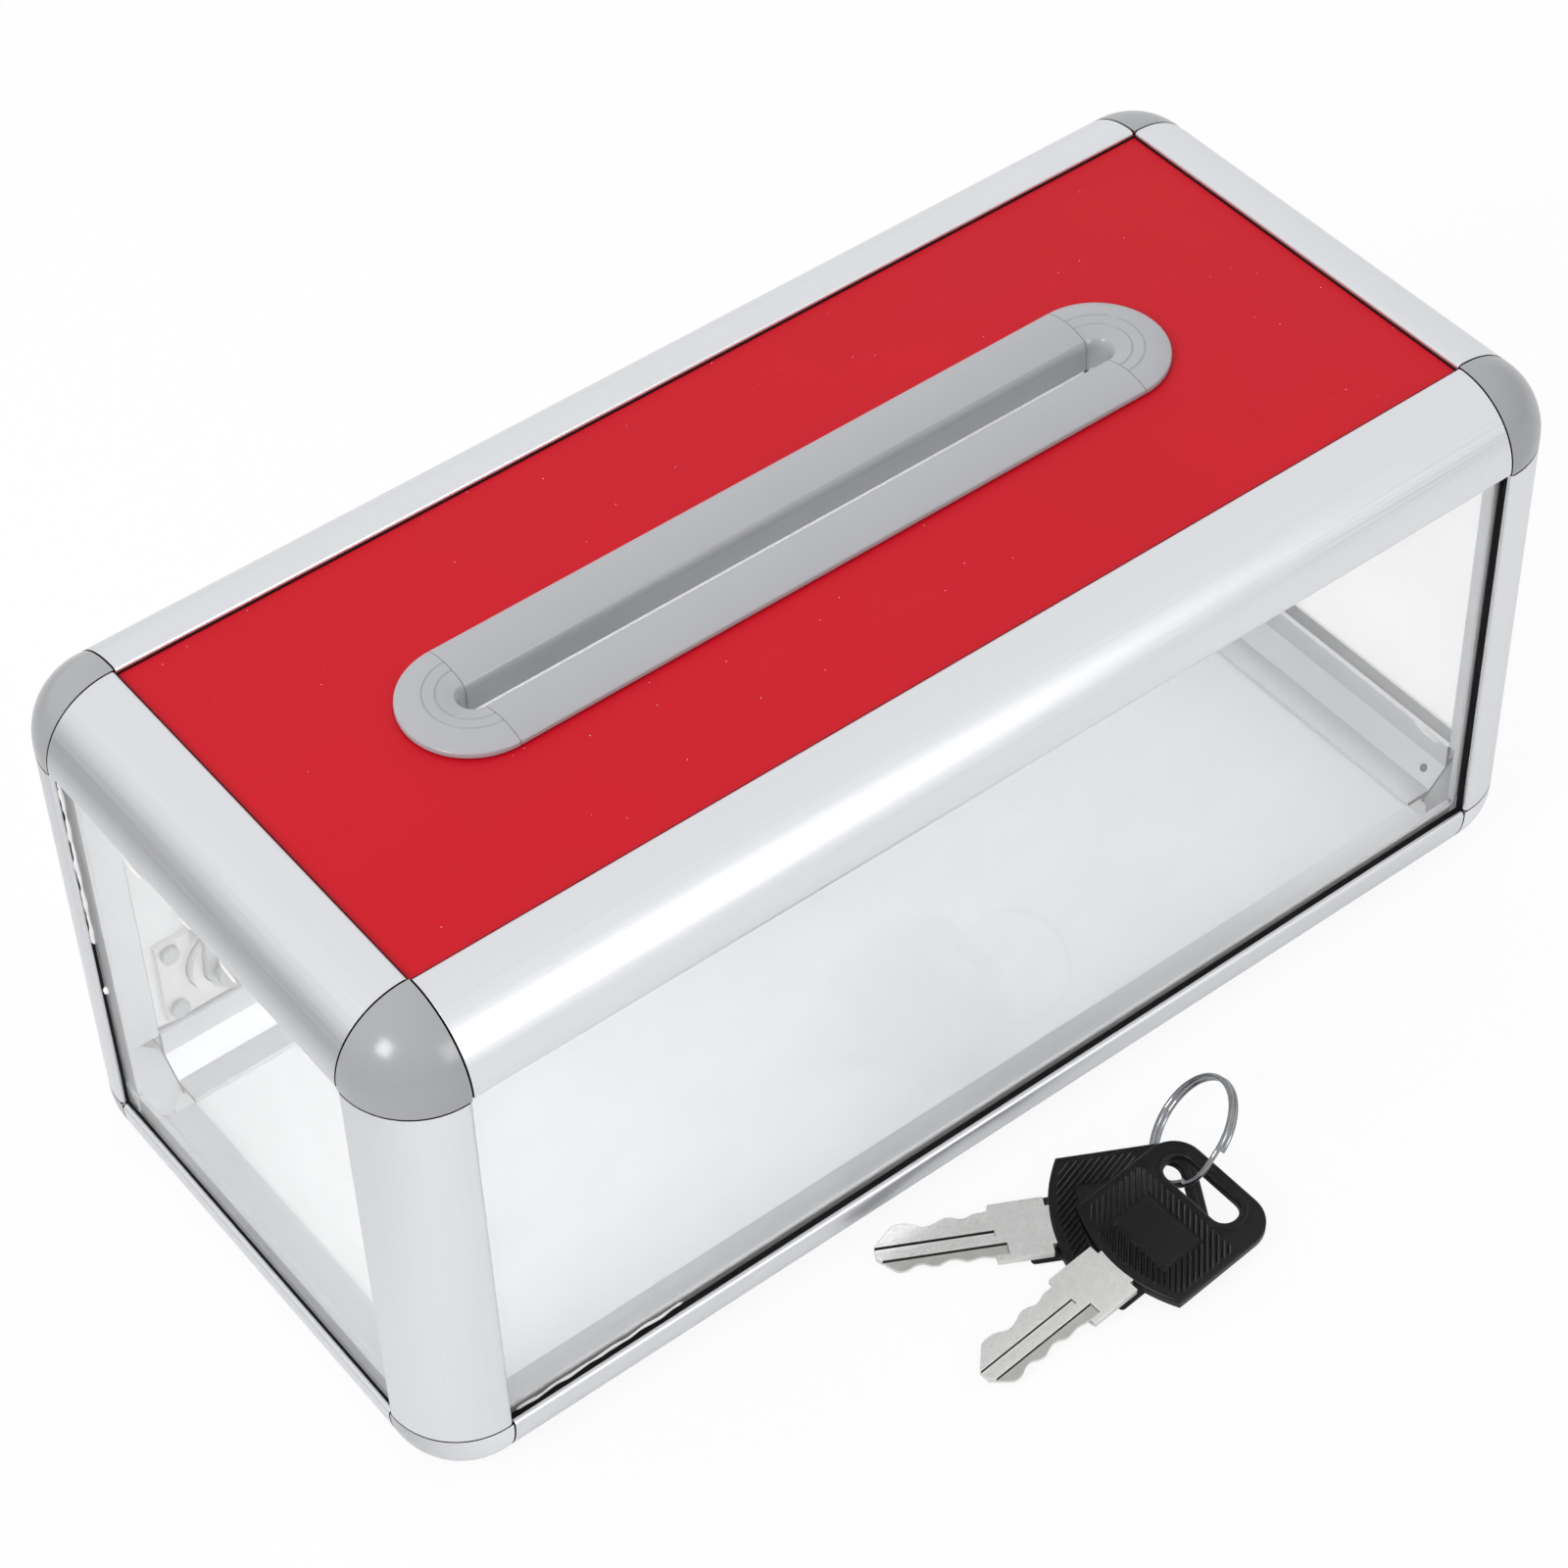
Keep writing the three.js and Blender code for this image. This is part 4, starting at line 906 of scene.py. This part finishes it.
def trim_profile(lines=()):
    """The trim's section as (distance from the slot's middle, height over the top), with lines cut in it."""
    wall, half = TRIM_WALL, TRIM_HALF
    lip = [Vector(p) for p in arc((SLOT_HALF + TRIM_LIP, 0), TRIM_LIP, TRIM_LIP_START, 180, 8)]
    drop = Vector((0, TRIM_RIM - lip[0].y))
    lip = [tuple(p + drop) for p in lip]
    shoulder = arc((half - TRIM_SHOULDER, TRIM_RIM - TRIM_SHOULDER), TRIM_SHOULDER, 0, 66, 8)
    start = Vector(shoulder[-1])
    end = Vector(lip[0])
    bend = (start + end) / 2 + Vector((0, TRIM_DOME))
    crown = []
    steps = 36
    for i in range(steps + 1):
        t = i / steps
        crown.append(start * (1 - t) ** 2 + bend * 2 * t * (1 - t) + end * t ** 2)
    width = sizes().trim_line / MM
    shaped = []
    for point in crown:
        if not any(abs(point.x - line) < width for line in lines):
            shaped.append((point.x, point.y))
    for line in lines:
        level = min(crown, key=lambda p: abs(p.x - line)).y
        bottom = level - TRIM_LINE_DEPTH
        shaped += [(line + width / 2, level + 0.01), (line + width * 0.2, bottom),
                   (line - width * 0.2, bottom), (line - width / 2, level + 0.02)]
    shaped.sort(key=lambda p: -p[0])
    barb = -SHEET - 0.3
    leg = [(SLOT_HALF, 0.2 - TRIM_LEG), (wall - 0.3, -TRIM_LEG), (wall, -TRIM_LEG)]
    hook = [(wall + TRIM_BARB, barb), (wall, barb)]
    gap = TRIM_SHADOW_GAP
    foot = [(wall, TRIM_SEAT), (half - 0.8, TRIM_SEAT), (half - 0.7, gap), (half, gap)]
    return [*leg, *hook, *foot, *shoulder, *shaped[1:], *lip[1:]]


class CARDBOX_OT_slot_trim(bpy.types.Operator):
    """Makes the moulded trim around the card slot: two rails and two round ends"""

    bl_idname = "cardbox.slot_trim"
    bl_label = "Slot trim"

    def execute(self, context):
        finish = moulded_abs("ABS, moulded satin grey", colours().trim, 0.22, 0.9, 0.02)
        run = RAIL - TRIM_SEAM
        middle = corner(*SLOT_MIDDLE, TOP_FACE)
        rail = settle(slab(trim_profile(), [], -run / 2, run / 2), "slot_rail", 24)
        for node, side in (("slot_rail_rear", 1), ("slot_rail_front", -1)):
            matrix = turn_to((0, side, 0), (0, 0, 1), middle)
            add_piece(f"{node}_moulded", rail, finish, "box", [node], matrix, sizes().trim_edge)
        end = settle(turned(trim_profile(TRIM_LINES), 48, -90, 180, closed=True), "slot_end", 24)
        for node, side in (("slot_end_right", 1), ("slot_end_left", -1)):
            matrix = turn_to((side, 0, 0), (0, side, 0), middle + Vector((side * RAIL / 2 * MM, 0, 0)))
            add_piece(f"{node}_moulded", end, finish, "box", [node], matrix,
                      sizes().trim_edge / 2)
        return {"FINISHED"}


class CARDBOX_OT_rear_door(bpy.types.Operator):
    """Finishes the rear door, its hinges and rivets"""

    bl_idname = "cardbox.rear_door"
    bl_label = "Rear door"

    def execute(self, context):
        pale = satin_sheet("PVC foam board, calendered pale grey", colours().pale, 0.0)
        zinc = plated("Steel, zinc plated", colours().steel, 0.32, 0.15)
        for node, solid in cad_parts.items():
            if node == "rear_door":
                finish_node(solid, pale, 0.15)
            elif node.startswith("hinge_"):
                finish_node(solid, zinc, 0.1)
        return {"FINISHED"}


def finish_node(solid, finish, edge):
    """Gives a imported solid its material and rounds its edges."""
    solid.data.materials.clear()
    solid.data.materials.append(finish)
    weld = solid.modifiers.new("weld", "WELD")
    weld.merge_threshold = 0.01 * MM
    rounding = solid.modifiers.new("edges", "BEVEL")
    rounding.width = edge * MM
    rounding.segments = 2
    rounding.limit_method = "ANGLE"
    rounding.angle_limit = math.radians(40)


class CARDBOX_OT_lock(bpy.types.Operator):
    """Finishes the cam lock on the door"""

    bl_idname = "cardbox.lock"
    bl_label = "Cam lock"

    def execute(self, context):
        nickel = plated("Zinc die casting, nickel plated", colours().nickel, 0.46, 0.12)
        zinc = plated("Steel, zinc plated", colours().steel, 0.32, 0.15)
        for node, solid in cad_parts.items():
            if node in ("lock_body", "lock_plug", "lock_plate"):
                finish_node(solid, nickel, 0.15)
            elif node.startswith("lock_"):
                finish_node(solid, zinc, 0.15)
        return {"FINISHED"}


def stack_matrix():
    """Where the leaning stack of keys lies."""
    lean = Vector((0, 0, 1)).rotation_difference(STACK_NORMAL).to_matrix().to_4x4()
    return Matrix.Translation(STACK_ORIGIN) @ lean


def key_matrix(place):
    """Where a key lies in the stack."""
    x, y, z, turn = KEY_PLACES[place]
    moved = Matrix.Translation(Vector((x, y, z)) * MM)
    return stack_matrix() @ moved @ Matrix.Rotation(math.radians(turn), 4, "Z")


def head_base(across):
    """How far along the key its head's bulging base lies."""
    return HEAD_BULGE * (across / HEAD_HALF) ** 2


def head_outline():
    """A key head's outline: bulging at the blade, round at the far corners."""
    base = []
    steps = 24
    for i in range(steps + 1):
        across = HEAD_LEFT + (HEAD_RIGHT - HEAD_LEFT) * i / steps
        base.append((head_base(across), across))
    inset = HEAD_FAR - HEAD_ROUND
    right_corner = arc((inset, HEAD_RIGHT + HEAD_ROUND), HEAD_ROUND, -90, 0, 10)
    left_corner = arc((inset, HEAD_LEFT - HEAD_ROUND), HEAD_ROUND, 0, 90, 10)
    return [*base, *right_corner, *left_corner]


def lies_flat(edge):
    """Whether both ends of an edge have the same height."""
    return abs(edge.verts[0].co.z - edge.verts[1].co.z) < 0.01


def head_hole(grow=0.0):
    """The long hole for the ring."""
    low, high = HOLE_ENDS
    top = arc((HOLE_PLACE, high), HOLE_ROUND + grow, 0, 180, 14)
    bottom = arc((HOLE_PLACE, low), HOLE_ROUND + grow, 180, 360, 14)
    return [*top, *bottom]


def key_plate(ends, half, radius):
    """A rectangle with rounded corners, about a key's middle line."""
    start, end = ends
    return rounded([(start, -half), (end, -half), (end, half), (start, half)], radius)


def on_rib_field(point):
    """Whether a point on a key head lies inside its border and off its blank panel."""
    along, across = point
    start, end = PANEL_ENDS
    field = head_base(across) + RIB_BORDER < along < RIB_FAR and abs(across) < RIB_HALF
    beside = abs(across) < PANEL_HALF + PANEL_CLEAR
    panel = start - PANEL_CLEAR < along < end + PANEL_CLEAR and beside
    return field and not panel


def rib_spans(offset):
    """Where a slanting rib starts and ends on the head."""
    spans = []
    start = None
    for i in range(481):
        reach = i / 10 - 24
        now = on_rib_field(RIB_MIDDLE + RIB_ACROSS * offset + RIB_RUN * reach)
        if now and start is None:
            start = reach
        elif start is not None and not now:
            if reach - start > RIB_SHORTEST:
                spans.append((start, reach))
            start = None
    return spans


def ribs(pitch, height):
    """Slanting ribs raised on a key head's upper face around a blank panel."""
    bars = []
    foot_half, crown_half = pitch * 0.33, pitch * 0.1
    count = int(22 / pitch)
    for i in range(-count, count + 1):
        for start, end in rib_spans(i * pitch):
            bm = bmesh.new()
            foot, crown = [], []
            for reach, inward, side in ((start, 1, -1), (end, -1, -1), (end, -1, 1), (start, 1, 1)):
                line = RIB_MIDDLE + RIB_ACROSS * i * pitch + RIB_RUN * reach
                low = line + RIB_ACROSS * side * foot_half
                high = line + RIB_ACROSS * side * crown_half + RIB_RUN * inward * 0.2
                foot.append(bm.verts.new((*low, 0)))
                crown.append(bm.verts.new((*high, height)))
            bm.faces.new(crown)
            bm.faces.new(foot)
            for k in range(4):
                bm.faces.new((foot[k - 1], foot[k], crown[k], crown[k - 1]))
            bmesh.ops.recalc_face_normals(bm, faces=bm.faces)
            bars.append(bm)
    return joined(*bars)


def blade_outline():
    """A key blade's outline: tang, shoulder, wavy cuts on both edges and a blunt point."""
    left = [(-10.4, 4.9), (-11.4, 4.5), (-13.0, 4.5), (-14.2, 4.0), (-15.6, 3.8), (-16.8, 4.3), (-18.2, 4.5),
            (-19.6, 4.0), (-21.2, 3.4), (-22.6, 3.4), (-23.6, 3.9), (-25.0, 4.5), (-26.6, 4.6), (-27.8, 4.4)]
    right = [(-28.3, -4.4), (-27.2, -4.6), (-26.0, -4.3), (-24.8, -3.7), (-23.4, -3.6), (-22.2, -4.2),
             (-20.8, -4.4), (-19.6, -3.9), (-18.2, -3.5), (-16.8, -3.9), (-15.6, -4.4), (-14.2, -4.2),
             (-12.8, -4.0), (-11.4, -4.3), (-10.6, -4.4)]
    root = -0.3
    tang = [(TANG_END, -TANG_HALF), (TANG_END, TANG_HALF), (root, TANG_HALF)]
    point = [(BLADE_TIP, 0.75), (BLADE_TIP, -1.5)]
    return [*tang, (root, BLADE_HALF), (BLADE_SHOULDER, BLADE_HALF), *smooth(left), *point, *smooth(right),
            (BLADE_SHOULDER, -BLADE_HALF), (root, -BLADE_HALF), (root, -TANG_HALF)]


def smooth(points, steps=3):
    """A smooth curve through the points."""
    result = []
    for i in range(len(points) - 1):
        p0, p1 = Vector(points[max(i - 1, 0)]), Vector(points[i])
        p2, p3 = Vector(points[i + 1]), Vector(points[min(i + 2, len(points) - 1)])
        for s in range(steps):
            t = s / steps
            bend = (2 * p0 - 5 * p1 + 4 * p2 - p3) * t * t
            twist = (3 * p1 - p0 - 3 * p2 + p3) * t ** 3
            result.append(tuple(0.5 * (2 * p1 + (p2 - p0) * t + bend + twist)))
    result.append(points[-1])
    return result


def blade_mesh(name, bright, dark, bed_shade):
    """A cut blade with two grooves along it; one wall of each groove is painted dark as its shade, and the
    outer groove's bed is painted darker as shade and left dull.
    """
    cutters = [block((*low, GROOVE_BED), (*high, 3)) for low, high in GROOVES]
    mesh = settle(carved(slab(blade_outline(), [], BLADE_UNDER, BLADE_FACE), cutters), name)
    for finish in (bright, dark, bed_shade):
        mesh.materials.append(finish)
    for face in mesh.polygons:
        _, n, height = face.center / MM
        # One wall of each groove takes the dark colour, painted shade; the outer groove's bed takes the
        # darker, duller plating, painted shade
        walls = [abs(n - high[1]) < 0.02 for _, high in GROOVES]
        if height > GROOVE_BED and any(walls) and abs(face.normal.y) > 0.9:
            face.material_index = 1
        elif abs(height - GROOVE_BED) < 0.01 and n < GROOVES[1][1][1]:
            face.material_index = 2
    return mesh


class CARDBOX_OT_keys(bpy.types.Operator):
    """Makes the two keys: ribbed moulded heads and cut, grooved blades"""

    bl_idname = "cardbox.keys"
    bl_label = "Keys"

    def execute(self, context):
        black = moulded_abs("ABS, moulded glossy black", colours().black, 0.3, 0.35, 0.02, 0.26)
        nickel = plated("Brass, nickel plated", colours().nickel, 0.3, 0.1)
        # Painted shade for one wall of each blade groove
        shaded_wall = plated("Brass, nickel plated, painted groove shade", colours().groove_wall_shade, 0.6, 0.1)
        # Painted shade for the outer groove's bed, darker and duller
        bed_shade = plated("Brass, milled, dull, painted shade", colours().bed_shade, 0.45, 0.1)
        for place in KEY_PLACES:
            self.make_key(place, black, nickel, shaded_wall, bed_shade)
        return {"FINISHED"}

    def make_key(self, place, black, nickel, shaded_wall, bed_shade):
        """One key: head, blank panel with the hole's rim, ribs, collar, blade."""
        body = f"key_{place}"
        matrix = key_matrix(place)
        fit = 0.12
        half = TANG_HALF + fit
        pocket = block((-4, -half, BLADE_UNDER - fit), (TANG_END + fit, half, BLADE_FACE + fit))
        plain = slab(head_outline(), [head_hole()], 0.0, HEAD_FACE)
        rims = [edge for edge in plain.edges if edge.calc_face_angle(0) > 1 and lies_flat(edge)]
        bmesh.ops.bevel(plain, geom=rims, offset=HEAD_EDGE, segments=4, profile=0.5, affect="EDGES")
        head = settle(carved(plain, [pocket]), f"{body}_head")
        add_piece(f"{body}_head_moulded", head, black, body, [f"{body}_head"], matrix)
        sunk = HEAD_FACE - 0.1
        panel = slab(key_plate(PANEL_ENDS, PANEL_HALF, PANEL_ROUND), [], sunk, RAISED_FACE)
        inner, outer = [head_hole(grow) for grow in HOLE_RIM]
        rim = slab(outer, [inner], sunk, RAISED_FACE)
        raised = settle(joined(panel, rim), f"{body}_raised")
        add_piece(f"{body}_raised", raised, black, body, matrix=matrix, edge=0.15 * MM)
        field = settle(ribs(sizes().rib_pitch / MM, sizes().rib_height / MM), f"{body}_ribs")
        lifted = matrix @ Matrix.Translation((0, 0, (HEAD_FACE - 0.01) * MM))
        add_piece(f"{body}_ribs", field, black, body, matrix=lifted)
        outline = key_plate(COLLAR_ENDS, COLLAR_HALF, COLLAR_ROUND)
        collar = settle(slab(outline, [], COLLAR_UNDER, COLLAR_FACE), f"{body}_collar")
        add_piece(f"{body}_collar", collar, black, body, matrix=matrix, edge=0.1 * MM)
        blade = blade_mesh(f"{body}_blade", nickel, shaded_wall, bed_shade)
        add_piece(f"{body}_blade_cut", blade, nickel, body, [f"{body}_blade"], matrix,
                  0.1 * MM)


class CARDBOX_OT_split_ring(bpy.types.Operator):
    """Winds the split ring: two turns of wire that step over each other"""

    bl_idname = "cardbox.split_ring"
    bl_label = "Split ring"

    def execute(self, context):
        finish = plated("Steel, polished", colours().ring, 0.1, 0.2)
        radius = sizes().wire / MM / 2
        path = []
        for i in range(241):
            angle = WIRE_SWEEP * i / 240
            rise = min(1.0, max(0.0, (angle - (358 - WIRE_STEP)) / WIRE_STEP))
            level = radius * (2 * rise * rise * (3 - 2 * rise) - 1)
            turn = math.radians(angle)
            path.append(Vector((RING_RADIUS * math.cos(turn), RING_RADIUS * math.sin(turn), level)))
        section = arc((0, 0), radius, 0, 330, 11)
        wire = swept(path, section, lambda i: Vector((path[i].x, path[i].y, 0)))
        lean = Matrix.Rotation(RING_TURN, 4, "Z") @ Matrix.Rotation(RING_LEAN, 4, "Y")
        middle = stack_matrix() @ Matrix.Translation(RING_CENTRE * MM)
        matrix = middle @ lean @ Matrix.Rotation(WIRE_START, 4, "Z")
        mesh = settle(wire, "split_ring", 50)
        add_piece("split_ring_wound", mesh, finish, "key_ring", ["split_ring"], matrix, 0.08 * MM)
        return {"FINISHED"}


class CARDBOX_OT_stage(bpy.types.Operator):
    """Sets the white floor, the studio lamps and the camera"""

    bl_idname = "cardbox.stage"
    bl_label = "Stage"

    def execute(self, context):
        scene = context.scene
        scene.view_settings.view_transform = "Standard"
        floor_mesh = bpy.data.meshes.new("floor")
        bm = bmesh.new()
        bmesh.ops.create_grid(bm, x_segments=1, y_segments=1, size=4)
        bm.to_mesh(floor_mesh)
        bm.free()
        floor = bpy.data.objects.new("floor", floor_mesh)
        floor.location.z = -0.02 * MM
        scene.collection.objects.link(floor)
        floor_mesh.materials.append(self.floor_paper())
        self.studio_light(scene)
        front = self.lamp("front_softbox", (0.18, -0.89, 0.49), (0.0, 0.0, 0.1), 0.34, 0.38, 1.75)
        front.visible_diffuse = False
        left = self.lamp("left_softbox", (-0.85, -0.14, 0.67), (0.0, 0.0, 0.1), 0.3, 0.3, 3.2)
        self.lamp("left_rear_glow", (-0.75, 0.58, 0.5), (0.0, 0.0, 0.1), 0.45, 0.45, 0.11)
        # This lamp is for the pale sheets alone, so that they show through the panes as bright as they are
        inside = self.lamp("inside_fill", (-0.1, -0.6, 0.95), (0.0, 0.02, 0.04), 0.6, 0.6, 2.75)
        inside.visible_glossy = False
        sheets = [bpy.data.objects["floor_panel_sheet"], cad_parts["rear_door"]]
        inside.light_linking.receiver_collection = self.group("pale_sheets", sheets)
        ground = self.group("ground", [floor])
        inside.light_linking.blocker_collection = ground
        # The low rear bar stays in the shade that the top casts inside the box
        shaded = [bpy.data.objects["bottom_rear_bar_drawn"]]
        front.light_linking.receiver_collection = self.group("rear_bar_shaded", shaded, "EXCLUDE")
        left.light_linking.receiver_collection = self.group("pale_sheets_shaded", sheets, "EXCLUDE")
        # The white floor's bounce on the low caps
        corners = ("front_left", "front_right", "rear_left", "rear_right")
        caps = [bpy.data.objects[f"corner_cap_bottom_{place}_moulded"] for place in corners]
        bounce = self.lamp("floor_bounce", (0.0, -0.8, 0.05), (0.0, 0.0, 0.01), 0.5, 0.1, 7.0)
        bounce.visible_camera = False
        bounce.visible_glossy = False
        bounce.light_linking.receiver_collection = self.group("low_caps", caps)
        bounce.light_linking.blocker_collection = ground
        self.camera(scene)
        return {"FINISHED"}

    def group(self, name, pieces, state="INCLUDE"):
        """A collection of pieces that a lamp lights, or leaves out."""
        collection = bpy.data.collections.new(name)
        for piece in pieces:
            collection.objects.link(piece)
        for member in collection.collection_objects:
            member.light_linking.link_state = state
        return collection

    def floor_paper(self):
        """White paper sweep: seen as white, with part of the object's shadow kept."""
        material = bpy.data.materials.new("Paper, white sweep")
        material.use_nodes = True
        tree = material.node_tree
        shader = tree.nodes["Principled BSDF"]
        shader.inputs["Roughness"].default_value = 0.9
        shader.inputs["Specular IOR Level"].default_value = 0.0
        # The paper's colour is painted darker far to the left, a painted shade for the light falling off
        # there, which the left bars show in reflection
        place = add(tree, "ShaderNodeTexCoord").outputs["Object"]
        leftward = {"operation": "DOT_PRODUCT", 1: (-0.85, 0.3, 0.0)}
        away = add(tree, "ShaderNodeVectorMath", leftward, {0: place})
        falling = {"From Min": 0.12, "From Max": 0.38, "To Min": 0.93, "To Max": 0.34}
        painted_falloff = add(tree, "ShaderNodeMapRange", falling, {"Value": away.outputs["Value"]})
        grey = add(tree, "ShaderNodeCombineColor", None, {band: painted_falloff.outputs[0] for band in range(3)})
        tree.links.new(grey.outputs[0], shader.inputs["Base Color"])
        white = add(tree, "ShaderNodeEmission", {"Color": (1, 1, 1, 1), "Strength": 1.0})
        amount = math_node(tree, "MULTIPLY", self.seen(tree), 0.9)
        mixed = add(tree, "ShaderNodeMixShader", None,
                    {0: amount, 1: shader.outputs[0], 2: white.outputs[0]})
        tree.links.new(mixed.outputs[0], tree.nodes["Material Output"].inputs["Surface"])
        return material

    def studio_light(self, scene):
        """Even white surroundings: white where they are seen, a plain level where they light."""
        world = bpy.data.worlds.new("studio")
        scene.world = world
        world.use_nodes = True
        tree = world.node_tree
        # The room is darker near the horizon than overhead, apart from the sweep behind the box
        place = add(tree, "ShaderNodeTexCoord").outputs["Generated"]
        upward = add(tree, "ShaderNodeSeparateXYZ", None, {0: place})
        ceiling = self.eased(tree, upward.outputs["Z"], 0.0, 0.8, 0.55)
        rearward = {"operation": "DOT_PRODUCT", 1: (0.3, 0.95, 0.0)}
        backward = add(tree, "ShaderNodeVectorMath", rearward, {0: place})
        sweep = self.eased(tree, backward.outputs["Value"], 0.2, 0.75, 0.0)
        room = math_node(tree, "MAXIMUM", ceiling, sweep)
        level = math_node(tree, "MAXIMUM", self.seen(tree), room)
        background = tree.nodes["Background"]
        background.inputs["Color"].default_value = (1, 1, 1, 1)
        tree.links.new(level, background.inputs["Strength"])

    def seen(self, tree):
        """One where the camera looks, straight or through a pane, and nought where light is gathered."""
        path = add(tree, "ShaderNodeLightPath")
        return math_node(tree, "MAXIMUM", path.outputs["Is Camera Ray"], path.outputs["Is Transmission Ray"])

    def eased(self, tree, value, start, end, low):
        """A brightness that eases from a low level up to nearly white."""
        settings = {"interpolation_type": "SMOOTHSTEP", "From Min": start, "From Max": end,
                    "To Min": low, "To Max": 0.97}
        return add(tree, "ShaderNodeMapRange", settings, {"Value": value}).outputs[0]

    def lamp(self, name, place, target, width, depth, power):
        """A soft rectangular lamp that faces a point."""
        light = bpy.data.lights.new(name, "AREA")
        light.shape = "RECTANGLE"
        light.size = width
        light.size_y = depth
        light.energy = power
        holder = bpy.data.objects.new(name, light)
        holder.location = place
        holder.rotation_euler = (Vector(target) - Vector(place)).to_track_quat("-Z", "Y").to_euler()
        bpy.context.scene.collection.objects.link(holder)
        return holder

    def camera(self, scene):
        """The camera at the photograph's view, with its slight roll."""
        heading, pitch, roll = CAMERA_HEADING, CAMERA_PITCH, CAMERA_ROLL
        level_back = Vector((math.sin(heading), -math.cos(heading), 0))
        back = level_back * math.cos(pitch) + Vector((0, 0, math.sin(pitch)))
        right = Vector((math.cos(heading), math.sin(heading), 0))
        up = back.cross(right)
        rolled_right = right * math.cos(roll) + up * math.sin(roll)
        rolled_up = up * math.cos(roll) - right * math.sin(roll)
        turn = Matrix((rolled_right, rolled_up, back)).transposed().to_4x4()
        lens = bpy.data.cameras.new("camera")
        lens.lens = CAMERA_LENS
        lens.sensor_width = 36
        lens.clip_start = 0.01
        holder = bpy.data.objects.new("camera", lens)
        holder.matrix_world = Matrix.Translation(CAMERA_PLACE) @ turn
        scene.collection.objects.link(holder)
        scene.camera = holder


class CARDBOX_PT_panel(bpy.types.Panel):
    """Lists the makers and the settings of the card box"""

    bl_idname = "CARDBOX_PT_panel"
    bl_label = "Card box"
    bl_space_type = "VIEW_3D"
    bl_region_type = "UI"
    bl_category = "Card box"

    def draw(self, context):
        """Draws a button for each maker and a field for each setting."""
        for maker in MAKERS:
            self.layout.operator(maker.bl_idname)
        for group in (sizes(), colours()):
            for name in group.bl_rna.properties.keys():
                if name not in ("rna_type", "name"):
                    self.layout.prop(group, name)


MAKERS = (
    CARDBOX_OT_edge_bars,
    CARDBOX_OT_corner_caps,
    CARDBOX_OT_panes,
    CARDBOX_OT_sheets,
    CARDBOX_OT_slot_trim,
    CARDBOX_OT_rear_door,
    CARDBOX_OT_lock,
    CARDBOX_OT_keys,
    CARDBOX_OT_split_ring,
    CARDBOX_OT_stage,
)
CLASSES = (CardBoxSizes, CardBoxColours, *MAKERS, CARDBOX_PT_panel)


def register():
    """Adds the makers, the panel and the settings."""
    for kind in CLASSES:
        bpy.utils.register_class(kind)
    bpy.types.Scene.card_box_sizes = bpy.props.PointerProperty(type=CardBoxSizes)
    bpy.types.Scene.card_box_colours = bpy.props.PointerProperty(type=CardBoxColours)


def unregister():
    """Takes them away again."""
    del bpy.types.Scene.card_box_colours
    del bpy.types.Scene.card_box_sizes
    for kind in reversed(CLASSES):
        bpy.utils.unregister_class(kind)


def main():
    """Builds the dressed box."""
    register()
    for maker in MAKERS:
        group, name = maker.bl_idname.split(".")
        getattr(getattr(bpy.ops, group), name)()


if __name__ == "__main__":
    main()
